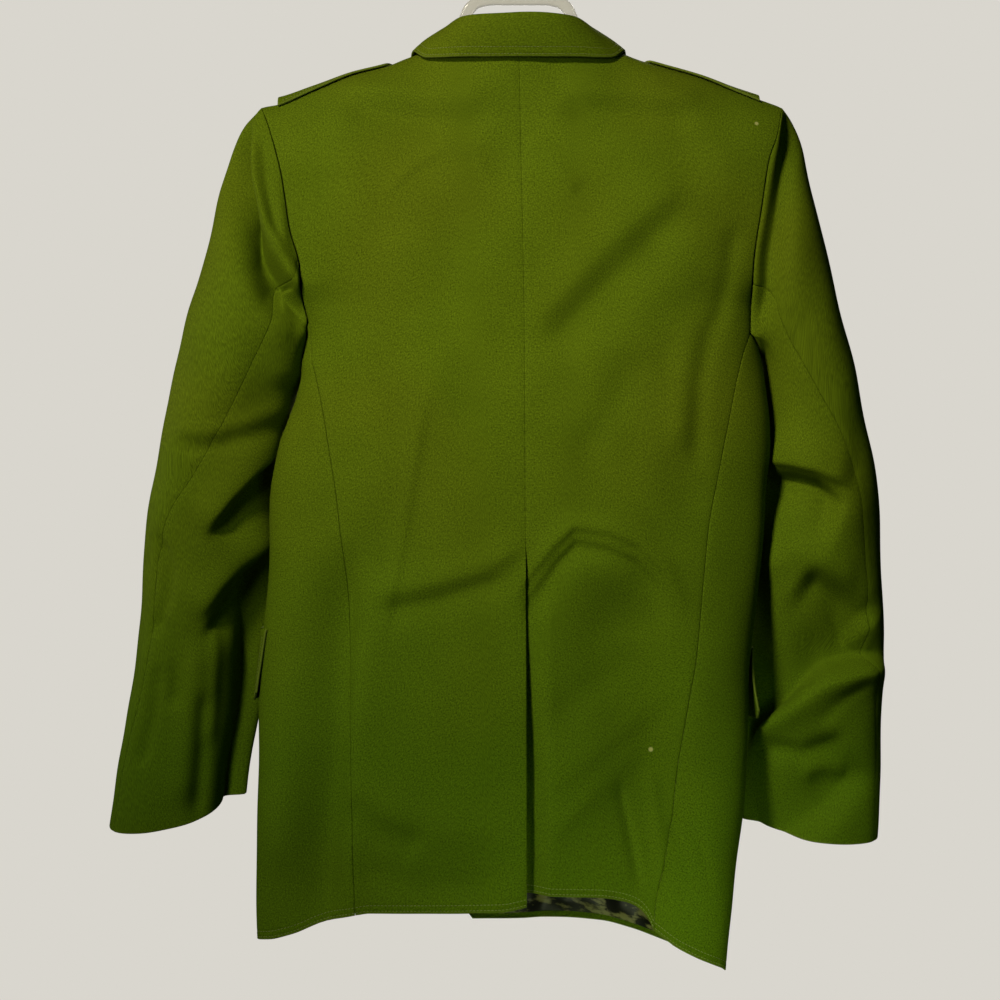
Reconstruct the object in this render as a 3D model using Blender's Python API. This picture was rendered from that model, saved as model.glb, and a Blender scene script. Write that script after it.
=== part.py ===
"""A uniform jacket hanging on a clear plastic hanger, as cut and sewn: panels, sleeves, collar, straps.

All sizes are millimetres until a mesh is made, and then metres. +Z is up, +X is the wearer's right,
and the jacket's front faces +Y. The origin is the inside top of the hanger's hook.
"""

import bpy
import numpy as np

# ---------------------------------------------------------------- driving dimensions
MM = 0.001
WALL = 1.7
SEAM_GAP = 0.34
STRAP_WALL = 2.0
LYING_GAP = 0.6
SQUARENESS = 2.5

NECK_MIDDLE = 3.0
NECK_SIDE = 78.0
LEFT_EDGE = 8.0
RIGHT_EDGE = -43.0
VENT_TOP = -575.0
VENT_UNDERLAP = 40.0
VENT_SINK, VENT_SAG = 3.8, 4.5
CLOSING_SINK = 3.6

ARMHOLE_ROWS = 10
SIDE_ROWS = 18
NECK_COLUMNS = 3
SHOULDER_COLUMNS = 8
SIDE_COLUMNS = 6
SLEEVE_ROWS = 24
ARMHOLE_SHARE = {"back": 0.278, "front": 0.268}


def table(columns, *rows):
    return dict(zip(columns.split(), np.array(rows, float).T))


# Half widths left and right of the middle, and depths behind and before it, at each height.
TORSO = table(
    "z left right back front",
    (-80, 262, 270, 44, 46),
    (-200, 262, 270, 50, 48),
    (-250, 248, 256, 56, 52),
    (-310, 214, 232, 59, 56),
    (-345, 182, 206, 59, 58),
    (-369, 176, 207, 59, 59),
    (-412, 184, 213, 57, 59),
    (-440, 192, 216.5, 55.5, 58),
    (-457, 198, 217, 54, 57),
    (-505, 207.5, 212, 51, 55),
    (-590, 212, 205.5, 50, 55),
    (-675, 216, 198.5, 50, 57),
    (-760, 219, 193.5, 47, 59),
    (-845, 220, 186, 43, 60),
    (-905, 219, 178.5, 41, 60),
)

# The crest of the shoulders. Between the neck's sides it is only the neck's own rounding.
CREST = table(
    "x z",
    (-250, -176),
    (-215, -171.4),
    (-200, -169),
    (-169, -157.4),
    (-137, -144.5),
    (-109, -137),
    (-93, -130.6),
    (-76, -124),
    (-58, -110),
    (-36, -97),
    (0, -90),
    (40, -97),
    (64, -110),
    (84, -122.5),
    (105, -131.4),
    (123, -137),
    (158, -147.2),
    (184, -157.2),
    (212, -166.5),
    (228, -172),
    (250, -178),
)

# Back panels: the armhole from the shoulder's tip down, then the side seam to the hem.
BACK_LEFT_OUT = table(
    "z x",
    (-172.6, -214.6),
    (-194, -206),
    (-238, -193.9),
    (-280, -187.9),
    (-307, -180.3),
    (-338, -176.4),
    (-358, -172.2),
    (-395, -167.9),
    (-427, -161),
    (-465, -155),
    (-507, -148.3),
    (-561, -142.9),
    (-621, -140.8),
    (-746, -137.5),
    (-852, -133.6),
)
BACK_RIGHT_OUT = table(
    "z x",
    (-172, 226.2),
    (-200, 219.2),
    (-221, 211.5),
    (-256, 206.1),
    (-311, 199),
    (-338, 198.4),
    (-362, 197.8),
    (-384, 190.5),
    (-412, 183.2),
    (-447, 176.7),
    (-488, 168.9),
    (-527, 161.9),
    (-572, 157.2),
    (-632, 152.2),
    (-678, 145.4),
    (-728, 137.9),
    (-772, 133.5),
    (-807, 127.3),
    (-843, 119.8),
    (-870, 117),
)
CENTRE_SEAM = table("z x", (-120, 3), (-216, 4.6), (-340, 7), (-464, 7.9), (-580, 8.8), (-844, 9.7))
UNDERLAP_EDGE = table(
    "z x",
    (-120, 3),
    (-216, 4.6),
    (-340, 7),
    (-464, 7.9),
    (-560, 8.6),
    (VENT_TOP, 8.7),
    (VENT_TOP - 25, 9 - VENT_UNDERLAP),
    (-840, 9 - VENT_UNDERLAP),
)

# Front panels: the armhole and the side's front seam, and the neck, lapel roll and front edge.
FRONT_LEFT_OUT = table(
    "z x",
    (-172.6, -214.6),
    (-196, -201),
    (-240, -184),
    (-282, -174),
    (-318, -170),
    (-352, -170.5),
    (-400, -171),
    (-457, -184),
    (-560, -194),
    (-680, -199),
    (-800, -203),
    (-872, -205),
)
FRONT_RIGHT_OUT = table(
    "z x",
    (-172, 226.2),
    (-198, 212),
    (-242, 197),
    (-282, 189),
    (-318, 190),
    (-352, 196),
    (-400, 198),
    (-457, 200),
    (-560, 193),
    (-680, 186),
    (-800, 178),
    (-902, 168),
)
FRONT_LEFT_IN = table(
    "z x",
    (-124, NECK_MIDDLE - NECK_SIDE),
    (-134, -74),
    (-152, -68),
    (-172, -60),
    (-290, -27),
    (-400, 3),
    (-430, LEFT_EDGE),
    (-800, LEFT_EDGE),
    (-830, 4),
    (-848, -6),
    (-862, -24),
)
FRONT_RIGHT_IN = table(
    "z x",
    (-124, NECK_MIDDLE + NECK_SIDE),
    (-134, 80),
    (-152, 74),
    (-172, 66),
    (-290, 14),
    (-400, -34),
    (-430, RIGHT_EDGE),
    (-850, RIGHT_EDGE),
    (-864, -41.5),
    (-871, -37),
)

# Heights of the back's neckline, from the middle out, and of each panel's hem.
NECKLINE = table("out z", (0, -131), (30, -130.4), (55, -128), (NECK_SIDE, -124))
HEM_BACK_LEFT = table("x z", (-134, -851.7), (-121, -849.7), (-46, -849), (-12, -848), (10, -844))
HEM_BACK_RIGHT = table(
    "x z", (-31, -831), (16, -832), (70, -834), (91, -838), (104, -844), (112, -853), (117, -866)
)
HEM_FRONT_LEFT = table("x z", (-205, -872), (-150, -866.5), (-100, -864.5), (-24, -862))
HEM_FRONT_RIGHT = table("x z", (-37, -871), (40, -870.5), (75, -872.5), (101, -878.5), (127, -887), (168, -901))
HEM_SIDE_LEFT = table("share z", (0, -851.7), (0.1, -858), (0.22, -869), (0.36, -875), (0.6, -877), (1, -872))
HEM_SIDE_RIGHT = table("share z", (0, -866), (0.1, -881), (0.25, -893), (0.42, -900), (0.6, -904), (1, -901))

# Each row is a section of a sleeve: its outer end, its inner end, its depths behind and before the
# line between them, how far its back hangs below its front, and where its two lengthwise seams lie
# round it, in degrees from the outer end.
SLEEVE_LEFT = table(
    "outer_x outer_y outer_z inner_x inner_y inner_z back front tilt seam_back seam_front",
    (-220, 2, -174, -177, 2, -367, 40, 42, 0, 118, 232),
    (-233.7, 2, -188, -179, 2, -370, 44, 47, 0, 116, 232),
    (-241.5, 2, -207, -180, 3, -375, 47, 50, 0, 114, 232),
    (-251, 2, -241, -182, 5, -384, 50, 54, 0, 112, 232),
    (-261.5, 3, -292, -182.5, 9, -398, 52, 57, 0, 108, 232),
    (-276.2, 4, -343, -185.5, 16, -416, 52, 58, 0, 104, 232),
    (-289.5, 6, -394, -193, 23, -438, 51, 57, 0, 97, 232),
    (-300.2, 8, -437, -200.5, 27, -462, 50, 55, 0, 87, 232),
    (-307.6, 11, -479, -205, 30, -492, 49, 53, 0, 75, 232),
    (-313.4, 14, -522, -207, 34, -530, 47, 51, 0, 50, 231),
    (-317.5, 18, -565, -209, 37, -572, 45, 50, 0, 42, 230),
    (-324, 22, -617, -211, 40, -618, 43, 48, 0, 43, 229),
    (-331.7, 27, -678, -218, 42, -672, 39, 42, 0, 36, 228),
    (-341, 32, -730, -229, 43, -722, 34, 36, 5, 26, 227),
    (-350.8, 36, -787, -233, 44, -760, 29, 30, 12, 21, 226),
)
SLEEVE_RIGHT = table(
    "outer_x outer_y outer_z inner_x inner_y inner_z back front tilt seam_back seam_front",
    (230, 2, -176, 206, 2, -369, 40, 42, 0, 122, 232),
    (239, 2, -190, 208, 4, -373, 43, 47, 0, 121, 232),
    (246.6, 3, -207, 210, 7, -378, 46, 50, 0, 120, 232),
    (252.7, 4, -241, 212, 12, -387, 49, 54, 0, 119, 232),
    (264.9, 5, -292, 213, 18, -402, 50, 57, 0, 118, 232),
    (277.2, 7, -343, 213.5, 25, -424, 50, 58, 0, 112, 232),
    (288.7, 9, -394, 214, 30, -450, 49, 57, 0, 92, 232),
    (298.6, 12, -437, 213, 33, -477, 48, 55, 0, 68, 232),
    (307, 15, -479, 210, 35, -506, 47, 53, 0, 54, 232),
    (312.8, 19, -522, 206, 37, -542, 46, 51, 0, 48, 231),
    (315.2, 23, -565, 203, 39, -580, 44, 50, 0, 44, 230),
    (318.5, 27, -617, 201, 41, -624, 42, 48, 0, 40, 229),
    (316.6, 31, -678, 198, 43, -680, 38, 42, 0, 30, 228),
    (316.4, 34, -730, 197, 45, -732, 34, 36, 4, 24, 227),
    (313.6, 36, -796, 198, 46, -782, 29, 30, 9, 21, 226),
)

# The largest folds, as strokes over the back (face -1) or the front (face 1): raised or sunk cloth.
SLEEVE_FOLDS = table(
    "face x0 z0 x1 z1 width depth",
    (-1, -236, -208, -235, -262, 9, -11),
    (-1, -235, -262, -216, -326, 10, -12),
    (-1, -216, -326, -190, -350, 9, -9),
    (-1, -222, -222, -210, -290, 12, 5),
    (-1, -205, -452, -250, -500, 12, 7),
    (-1, -214, -476, -256, -520, 11, -10),
    (-1, -226, -540, -262, -590, 12, 6),
    (-1, -232, -566, -258, -610, 10, -7),
    (-1, 208, -212, 212, -280, 9, -8),
    (-1, 232, -470, 280, -482, 11, 7),
    (-1, 240, -496, 276, -520, 13, -9),
    (-1, 268, -600, 296, -606, 10, -7),
    (-1, 240, -640, 300, -650, 13, -7),
    (-1, 232, -674, 300, -690, 13, 5),
    (1, -222, -470, -276, -492, 12, -8),
    (1, -224, -540, -286, -566, 13, -7),
    (1, -236, -220, -226, -300, 12, -7),
    (1, 226, -480, 284, -500, 12, -8),
    (1, 226, -560, 290, -576, 13, -7),
    (1, 236, -222, 230, -300, 12, -7),
)
TORSO_FOLDS = table(
    "face x0 z0 x1 z1 width depth",
    (-1, -154, -690, -172, -800, 11, -5),
    (-1, 150, -230, 88, -330, 22, -3),
    (-1, 172, -360, 160, -460, 20, -3),
    (-1, -150, -300, -120, -380, 26, -2.5),
    (1, -120, -430, -60, -470, 22, -3),
    (1, 120, -420, 60, -480, 22, -3),
)

# Half of the collar, from the middle of the back to its front end: where it is sewn on, where it
# rolls over, its outer edge and how far its roll bulges. Each side adds its own sign to x, which is
# measured from the neck's middle.
COLLAR = table(
    "sewn_x sewn_z roll_x roll_y roll_z edge_x edge_y edge_z bulge",
    (0, -131, 0, -46, -104.5, 0, -49.5, -137, 9),
    (20, -130.7, 18, -45, -104.5, 21, -48.5, -137, 9),
    (38, -129.8, 35, -41, -104.5, 42, -46, -136.4, 8.5),
    (55, -128, 48, -32, -104.2, 62, -40.5, -135.8, 8.5),
    (69, -125.6, 58, -18, -106, 79.5, -28, -133.6, 8),
    (NECK_SIDE - 0.5, -124, 64, -1, -109, 90, -7, -124.6, 8.5),
    (77, -134, 65, 17, -117.5, 93, 20, -132.5, 8.5),
    (71, -152, 61.5, 32, -138, 92, 37, -156, 9),
    (61, -178, 57, 44, -171, 87.5, 47, -182, 9),
)
LAPEL = table("share width", (0.02, 40), (0.08, 66), (0.15, 84), (0.3, 78), (0.55, 56), (0.8, 27), (0.95, 9))

COLLAR_LIFT, COLLAR_SEAM, COLLAR_CLEARANCE = 1.2, 2.1, 4.0
ROLL_RISE = 7.0

# Shoulder straps: reach along the shoulder, how far behind and before the crest, how far forward its
# inner end is turned, and how high it bows off the shoulder at its outer end.
STRAP_OUTER, STRAP_INNER, STRAP_POINT = 203.0, 99.0, 14.0
STRAP_BEHIND, STRAP_BEFORE = 13.0, 29.0
STRAP_TURN = 12.0
STRAP_GAP = 1.1
STRAP_BOW = {"left": 4.2, "right": 0.6}

# Pocket flaps: the ends, as degrees round the body, the top edge, the height and the flare.
FLAP_HEIGHT = 61.0
FLAP_ENDS = {"left": (199.0, 118.0), "right": (-4.0, 60.0)}
FLAP_TOP = {"left": -614.0, "right": -630.0}
FLAP_SLANT = {"left": -6.0, "right": 0.0}
FLAP_FLARE = {"left": 2.0, "right": 7.5}

BUTTON_RADIUS, STRAP_BUTTON_RADIUS = 10.5, 7.5
BUTTON_X = LEFT_EDGE - 18
BUTTON_HEIGHTS = (-432, -512, -592, -672)

# The lining shows inside the right front, below the vent.
LINING_TOP = -640.0
LINING_WALL = 1.0

HANGER_RADIUS = 5.0
HANGER_PATH = table(
    "x z",
    (0, -79.5),
    (22, -79.5),
    (35, -82),
    (42, -88),
    (46, -97),
    (50, -108),
    (55, -118),
    (64, -130),
    (80, -138),
)
HANGER_END = 200.0
HOOK_WIRE, HOOK_INSIDE = 1.9, 20.0


# ---------------------------------------------------------------- reading the tables
def read(values, key, column, at):
    """A column read between its rows along a smooth curve that doesn't swing past them."""
    x, y = values[key], values[column]
    if x[0] > x[-1]:
        x, y = x[::-1], y[::-1]
    step = np.diff(x)
    slope = np.diff(y) / step
    tangent = np.zeros_like(y)
    tangent[0], tangent[-1] = slope[0], slope[-1]
    same = slope[:-1] * slope[1:] > 0
    harmonic = 2 * slope[:-1] * slope[1:] / np.where(same, slope[:-1] + slope[1:], 1)
    tangent[1:-1] = np.where(same, harmonic, 0)
    at = np.clip(np.asarray(at, float), x[0], x[-1])
    i = np.clip(np.searchsorted(x, at) - 1, 0, len(step) - 1)
    t = (at - x[i]) / step[i]
    return (
        (2 * t**3 - 3 * t**2 + 1) * y[i]
        + (t**3 - 2 * t**2 + t) * step[i] * tangent[i]
        + (3 * t**2 - 2 * t**3) * y[i + 1]
        + (t**3 - t**2) * step[i] * tangent[i + 1]
    )


def smooth(value):
    value = np.clip(value, 0, 1)
    return value * value * (3 - 2 * value)


def unit(vectors):
    return vectors / np.maximum(np.linalg.norm(vectors, axis=-1, keepdims=True), 1e-9)


# ---------------------------------------------------------------- the torso's own surface
def crest_z(x):
    return read(CREST, "x", "z", x)


def crest_reach(x):
    """How far below the shoulder's crest the body has its full depth."""
    return 75 + 45 * np.exp(-((x / 120) ** 2))


def drop_below_crest(down, x):
    reach = crest_reach(x)
    turn = np.clip(down / reach, 0, 1) * np.pi / 2
    return np.where(down < reach, reach * (1 - np.cos(turn)), down)


def down_at(x, z):
    """Distance down the cloth's curve from the crest, for a point at this x and z."""
    reach = crest_reach(x)
    drop = np.maximum(crest_z(x) - z, 0)
    near = reach * np.arccos(np.clip(1 - drop / reach, 0, 1)) * 2 / np.pi
    return np.where(drop < reach, near, drop)


def half_width(x_sign, z):
    return np.where(x_sign < 0, read(TORSO, "z", "left", z), read(TORSO, "z", "right", z))


def angle_at(x, z, face):
    """Degrees round the body, from +X by the front (+Y): face is 1 for the front, -1 for the back."""
    share = np.clip(np.abs(x) / half_width(x, z), 0, 1)
    depth = (1 - share**SQUARENESS) ** (1 / SQUARENESS)
    return np.degrees(np.arctan2(face * depth, np.sign(x) * share)) % 360


def torso_point(angle, down):
    angle, down = np.broadcast_arrays(np.asarray(angle, float), np.asarray(down, float))
    cosine, sine = np.cos(np.radians(angle)), np.sin(np.radians(angle))
    spread = (np.abs(cosine) ** SQUARENESS + np.abs(sine) ** SQUARENESS) ** (-1 / SQUARENESS)
    z = -150 - down
    for _ in range(8):
        x = half_width(cosine, z) * cosine * spread
        z = crest_z(x) - drop_below_crest(down, x)
    depth = np.where(sine < 0, read(TORSO, "z", "back", z), read(TORSO, "z", "front", z))
    swell = np.sin(np.clip(down / crest_reach(x), 0, 1) * np.pi / 2)
    return np.stack([x, depth * sine * spread * swell, z], -1)


def torso_normal(angle, down):
    turn, step = 0.4, 0.8
    across = torso_point(angle + turn, down) - torso_point(angle - turn, down)
    along = torso_point(angle, down + step) - torso_point(angle, np.maximum(down - step, 0))
    return unit(np.cross(along, across))


def strokes(points, normals, folds):
    """How far the cloth is raised (or, below 0, sunk) by the folds drawn over its back and front."""
    height = np.zeros(points.shape[:-1])
    for face, x0, z0, x1, z1, width, depth in zip(*folds.values()):
        run = np.array([x1 - x0, z1 - z0])
        offset = points[..., [0, 2]] - (x0, z0)
        share = np.clip(offset @ run / (run @ run), 0, 1)
        away = np.linalg.norm(offset - share[..., None] * run, axis=-1)
        facing = smooth(face * normals[..., 1] * 1.6)
        height += depth * facing * np.exp(-((away / width) ** 2))
    return height


def torso_surface(angle, down, sink=0.0):
    """Points of the cloth's outer side with its folds, and their normals; sink moves them inwards."""

    def folded(angle, down):
        points, normals = torso_point(angle, down), torso_normal(angle, down)
        return points + normals * (strokes(points, normals, TORSO_FOLDS))[..., None]

    turn, step = 0.6, 1.2
    across = folded(angle + turn, down) - folded(angle - turn, down)
    along = folded(angle, down + step) - folded(angle, np.maximum(down - step, 0))
    normals = unit(np.cross(along, across))
    return folded(angle, down) - normals * np.asarray(sink)[..., None], normals


# ---------------------------------------------------------------- panels between their seams
def seam_run(seam, downs):
    """x and z of a seam at these distances down the cloth."""
    z = -150 - downs
    for _ in range(12):
        x = read(seam, "z", "x", z)
        z = crest_z(x) - drop_below_crest(downs, x)
    return x, z


def row_shares(corner):
    """Shares of a panel's height: the armhole's rows, then the side seam's."""
    upper = np.linspace(0, corner, ARMHOLE_ROWS + 1)
    lower = np.linspace(corner, 1, SIDE_ROWS + 1)
    return np.concatenate([upper, lower[1:]])


def panel_grid(inner, outer, column_shares, top_down, hem, corner, face):
    """Angles and distances down of a back or front panel, in rows from its top edge to its hem."""
    rows = row_shares(corner)
    inner_hem_x, outer_hem_x = inner["x"][-1], outer["x"][-1]
    hem_x = inner_hem_x + (outer_hem_x - inner_hem_x) * column_shares
    hem_down = down_at(hem_x, read(hem, "x", "z", hem_x))
    down = (1 - rows)[:, None] * top_down + rows[:, None] * hem_down
    inner_x, _ = seam_run(inner, down[:, 0])
    outer_x, _ = seam_run(outer, down[:, -1])
    x = inner_x[:, None] + (outer_x - inner_x)[:, None] * column_shares
    z = crest_z(x) - drop_below_crest(down, x)
    return angle_at(x, z, face), down


def side_grid(back, front, hem):
    """The side panel between the back panel's side seam and the front panel's."""
    (back_angle, back_down), (front_angle, front_down) = back, front
    share = np.linspace(0, 1, SIDE_COLUMNS + 1)
    turn = (front_angle - back_angle + 180) % 360 - 180
    angle = back_angle[:, None] + turn[:, None] * share
    down = back_down[:, None] + (front_down - back_down)[:, None] * share
    rows = np.linspace(0, 1, SIDE_ROWS + 1)[:, None]
    hem_z = read(hem, "share", "z", share)
    hem_x = torso_point(angle[-1], down[-1])[:, 0]
    down = down + (down_at(hem_x, hem_z) - down[-1]) * rows**2
    return angle, down + 12 * np.sin(np.pi * share) * (1 - rows) ** 2


# ---------------------------------------------------------------- closed solids from grids
def shell_faces(rows, columns):
    """Triangles of a wall: outer points first, then inner ones, closed round its edges."""
    size = rows * columns
    faces = []
    for i in range(rows - 1):
        for j in range(columns - 1):
            a, b = i * columns + j, i * columns + j + 1
            c, d = b + columns, a + columns
            faces += [(a, c, b), (a, d, c)]
            faces += [(a + size, b + size, c + size), (a + size, c + size, d + size)]
    for i, first in ((0, True), (rows - 1, False)):
        for j in range(columns - 1):
            a, b = i * columns + j, i * columns + j + 1
            faces += close_rim((a, b, b + size, a + size), first)
    for j, first in ((0, False), (columns - 1, True)):
        for i in range(rows - 1):
            a, b = i * columns + j, (i + 1) * columns + j
            faces += close_rim((a, b, b + size, a + size), first)
    return faces


def close_rim(quad, forward):
    a, b, c, d = quad
    if forward:
        return [(a, b, c), (a, c, d)]
    return [(a, c, b), (a, d, c)]


def enclosed_volume(points, faces):
    corners = points[np.array(faces)]
    return np.einsum("ij,ij->i", corners[:, 0], np.cross(corners[:, 1], corners[:, 2])).sum() / 6


def add_solid(name, points, faces, material):
    """One named object from points in millimetres, with its faces pointing out."""
    points = np.asarray(points, float).reshape(-1, 3)
    if enclosed_volume(points, faces) < 0:
        faces = [face[::-1] for face in faces]
    mesh = bpy.data.meshes.new(name)
    mesh.from_pydata((points * MM).tolist(), [], faces)
    mesh.materials.append(material)
    mesh.shade_smooth()
    mesh.set_sharp_from_angle(angle=np.radians(40))
    mesh.update()
    part = bpy.data.objects.new(name, mesh)
    bpy.context.scene.collection.objects.link(part)
    return part


def parted(points):
    """The grid with its first and last columns drawn back from the seam."""
    points = points.copy()
    points[:, 0] += unit(points[:, 1] - points[:, 0]) * SEAM_GAP / 2
    points[:, -1] += unit(points[:, -2] - points[:, -1]) * SEAM_GAP / 2
    return points


def parted_top(points):
    points = points.copy()
    points[0] += unit(points[1] - points[0]) * SEAM_GAP / 2
    return points


def add_wall(name, outer, inner, material):
    rows, columns = outer.shape[:2]
    points = np.concatenate([outer.reshape(-1, 3), inner.reshape(-1, 3)])
    return add_solid(name, points, shell_faces(rows, columns), material)


def add_tube(name, rings, material):
    """A solid bar through rings of points, closed at both ends."""
    count, around = rings.shape[:2]
    faces = []
    for i in range(count - 1):
        for j in range(around):
            a, b = i * around + j, i * around + (j + 1) % around
            faces += [(a, b, b + around), (a, b + around, a + around)]
    ends = [rings[0].mean(axis=0), rings[-1].mean(axis=0)]
    size = count * around
    for j in range(around):
        k = (j + 1) % around
        faces += [(size, k, j), (size + 1, size - around + j, size - around + k)]
    points = np.concatenate([rings.reshape(-1, 3), ends])
    return add_solid(name, points, faces, material)


def rings_along(path, radius, around):
    """Rings of this radius square to a path that lies in the plane of X and Z."""
    heading = unit(np.gradient(path, axis=0))
    sideways = np.stack([-heading[:, 2], 0 * heading[:, 0], heading[:, 0]], -1)
    turn = np.linspace(0, 2 * np.pi, around, endpoint=False)[:, None]
    depth = np.array([0.0, 1.0, 0.0])
    radius = np.broadcast_to(radius, (len(path), 2))
    wide = np.cos(turn) * sideways[:, None] * radius[:, None, :1]
    return path[:, None] + wide + np.sin(turn) * depth * radius[:, None, 1:]


# ---------------------------------------------------------------- materials
def paint(name, colour, roughness, metallic=0.0, alpha=1.0):
    material = bpy.data.materials.new(name)
    material.use_nodes = True
    shader = material.node_tree.nodes["Principled BSDF"]
    shader.inputs["Base Color"].default_value = (*colour, 1.0)
    shader.inputs["Roughness"].default_value = roughness
    shader.inputs["Metallic"].default_value = metallic
    shader.inputs["Alpha"].default_value = alpha
    return material


# ---------------------------------------------------------------- the body's panels
def overlap_sink(x, edge_x, depth, fade):
    """How far the lower of two lapped panels is sunk, beyond the upper one's edge."""
    return depth * smooth((edge_x + fade - x) / fade)


def column_shares(inner, outer):
    neck = (NECK_SIDE + abs(inner["x"][0] - NECK_MIDDLE)) / abs(outer["x"][0] - inner["x"][0])
    shoulder = np.linspace(neck, 1, SHOULDER_COLUMNS + 1)
    return np.concatenate([np.linspace(0, neck, NECK_COLUMNS + 1), shoulder[1:]])


def back_grid(side):
    inner = CENTRE_SEAM if side == "left" else UNDERLAP_EDGE
    outer = BACK_LEFT_OUT if side == "left" else BACK_RIGHT_OUT
    hem = HEM_BACK_LEFT if side == "left" else HEM_BACK_RIGHT
    shares = column_shares(inner, outer)
    top_x = inner["x"][0] + (outer["x"][0] - inner["x"][0]) * shares
    out = np.abs(top_x - NECK_MIDDLE)
    neck_down = down_at(top_x, read(NECKLINE, "out", "z", out))
    top_down = np.where(out < NECK_SIDE - 0.01, neck_down, 0)
    return panel_grid(inner, outer, shares, top_down, hem, ARMHOLE_SHARE["back"], -1)


def front_grid(side):
    inner = FRONT_LEFT_IN if side == "left" else FRONT_RIGHT_IN
    outer = FRONT_LEFT_OUT if side == "left" else FRONT_RIGHT_OUT
    hem = HEM_FRONT_LEFT if side == "left" else HEM_FRONT_RIGHT
    shares = np.linspace(0, 1, SHOULDER_COLUMNS + 1)
    return panel_grid(inner, outer, shares, 0 * shares, hem, ARMHOLE_SHARE["front"], 1)


def vent_sink(angle, down):
    """The right back sinks under the left back's edge, below the vent's top."""
    points = torso_point(angle, down)
    x, z = points[..., 0], points[..., 2]
    depth = VENT_SINK * smooth((VENT_TOP + 40 - z) / 34) + VENT_SAG * smooth((VENT_TOP - 10 - z) / 200)
    return overlap_sink(x, read(CENTRE_SEAM, "z", "x", z), depth, 20)


def closing_sink(angle, down):
    """The right front sinks under the left front's edge, below the lapels."""
    points = torso_point(angle, down)
    x, z = points[..., 0], points[..., 2]
    depth = CLOSING_SINK * smooth((-290 - z) / 30)
    return overlap_sink(x, read(FRONT_LEFT_IN, "z", "x", np.maximum(z, -700)), depth, 18)


def add_torso(cloth):
    """Back, side and front panels; returns what the sleeves and the lapels are sewn to."""
    made = {}
    for side in ("left", "right"):
        back, front = back_grid(side), front_grid(side)
        back_edge = [values[ARMHOLE_ROWS:, -1] for values in back]
        front_edge = [values[ARMHOLE_ROWS:, -1] for values in front]
        hem = HEM_SIDE_LEFT if side == "left" else HEM_SIDE_RIGHT
        flank = side_grid(back_edge, front_edge, hem)
        back_sink = vent_sink(*back) if side == "right" else 0.0
        front_sink = closing_sink(*front) if side == "right" else 0.0
        for piece, grid, sink in (("back", back, back_sink), ("front", front, front_sink), ("side", flank, 0.0)):
            outer, normals = torso_surface(*grid, sink)
            made[piece, side] = (outer, normals)
            drawn = parted_top(parted(outer))
            add_wall(f"{piece}_{side}", drawn, drawn - normals * WALL, cloth)
    return made


# ---------------------------------------------------------------- sleeves
def armhole_loop(panels, side):
    """The armhole's points from the shoulder's tip, down the back, under the arm and up the front.

    It also gives the way out of the armhole's edge, into its opening, at each point.
    """
    back, front, flank = (panels[name, side][0] for name in ("back", "front", "side"))
    down_back = back[: ARMHOLE_ROWS + 1, -1]
    up_front = front[: ARMHOLE_ROWS + 1, -1][::-1]
    into_back = back[: ARMHOLE_ROWS + 1, -1] - back[: ARMHOLE_ROWS + 1, -2]
    into_front = (front[: ARMHOLE_ROWS + 1, -1] - front[: ARMHOLE_ROWS + 1, -2])[::-1]
    into_flank = flank[0, 1:-1] - flank[1, 1:-1]
    loop = np.concatenate([down_back, flank[0, 1:-1], up_front[:-1]])
    into = np.concatenate([into_back, into_flank, into_front[:-1]])
    return loop, unit(into)


def sleeve_rings(sections, loop, into):
    """The whole sleeve as rings of points, from the armhole to the cuff, and its seam columns."""
    around = len(loop)
    seam_back, seam_front = ARMHOLE_ROWS - 2, ARMHOLE_ROWS + SIDE_COLUMNS + 2
    rows = np.linspace(0, 1, SLEEVE_ROWS + 1)
    rows = rows * (0.72 + 0.28 * rows) * (len(sections["outer_x"]) - 1)
    index = dict(row=np.arange(len(sections["outer_x"]), dtype=float))
    at = {name: read({**index, name: sections[name]}, "row", name, rows) for name in sections}
    column = np.arange(around)
    low = column < seam_back
    under = (column >= seam_back) & (column < seam_front)
    back, front = at["seam_back"][:, None], at["seam_front"][:, None]
    top = np.where(low, column / seam_back * back, 0)
    middle = back + (front - back) * (column - seam_back) / (seam_front - seam_back)
    last = front + (360 - front) * (column - seam_front) / (around - seam_front)
    turn = np.radians(np.where(low, top, np.where(under, middle, last)))
    outer = np.stack([at[f"outer_{axis}"] for axis in "xyz"], -1)[:, None]
    inner = np.stack([at[f"inner_{axis}"] for axis in "xyz"], -1)[:, None]
    cosine, sine = np.cos(turn), np.sin(turn)
    points = (outer + inner) / 2 + (outer - inner) / 2 * cosine[..., None]
    points[..., 1] -= np.where(sine > 0, at["back"][:, None], at["front"][:, None]) * sine
    points[..., 2] -= at["tilt"][:, None] * sine
    start = loop + into * SEAM_GAP * 1.3
    fade = 1 - smooth(rows / 4.5)
    points = points + (start - points[0]) * fade[:, None, None]
    normals = tube_normals(points)
    points = points + normals * (strokes(points, normals, SLEEVE_FOLDS) * smooth(rows / 1.5)[:, None])[..., None]
    return points, seam_back, seam_front


def tube_normals(points):
    """Normals that point out of a tube of rings."""
    along = np.gradient(points, axis=0)
    across = np.roll(points, -1, axis=1) - np.roll(points, 1, axis=1)
    normals = unit(np.cross(along, across))
    outward = points - points.mean(axis=1, keepdims=True)
    return normals * np.sign((normals * outward).sum())


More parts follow.
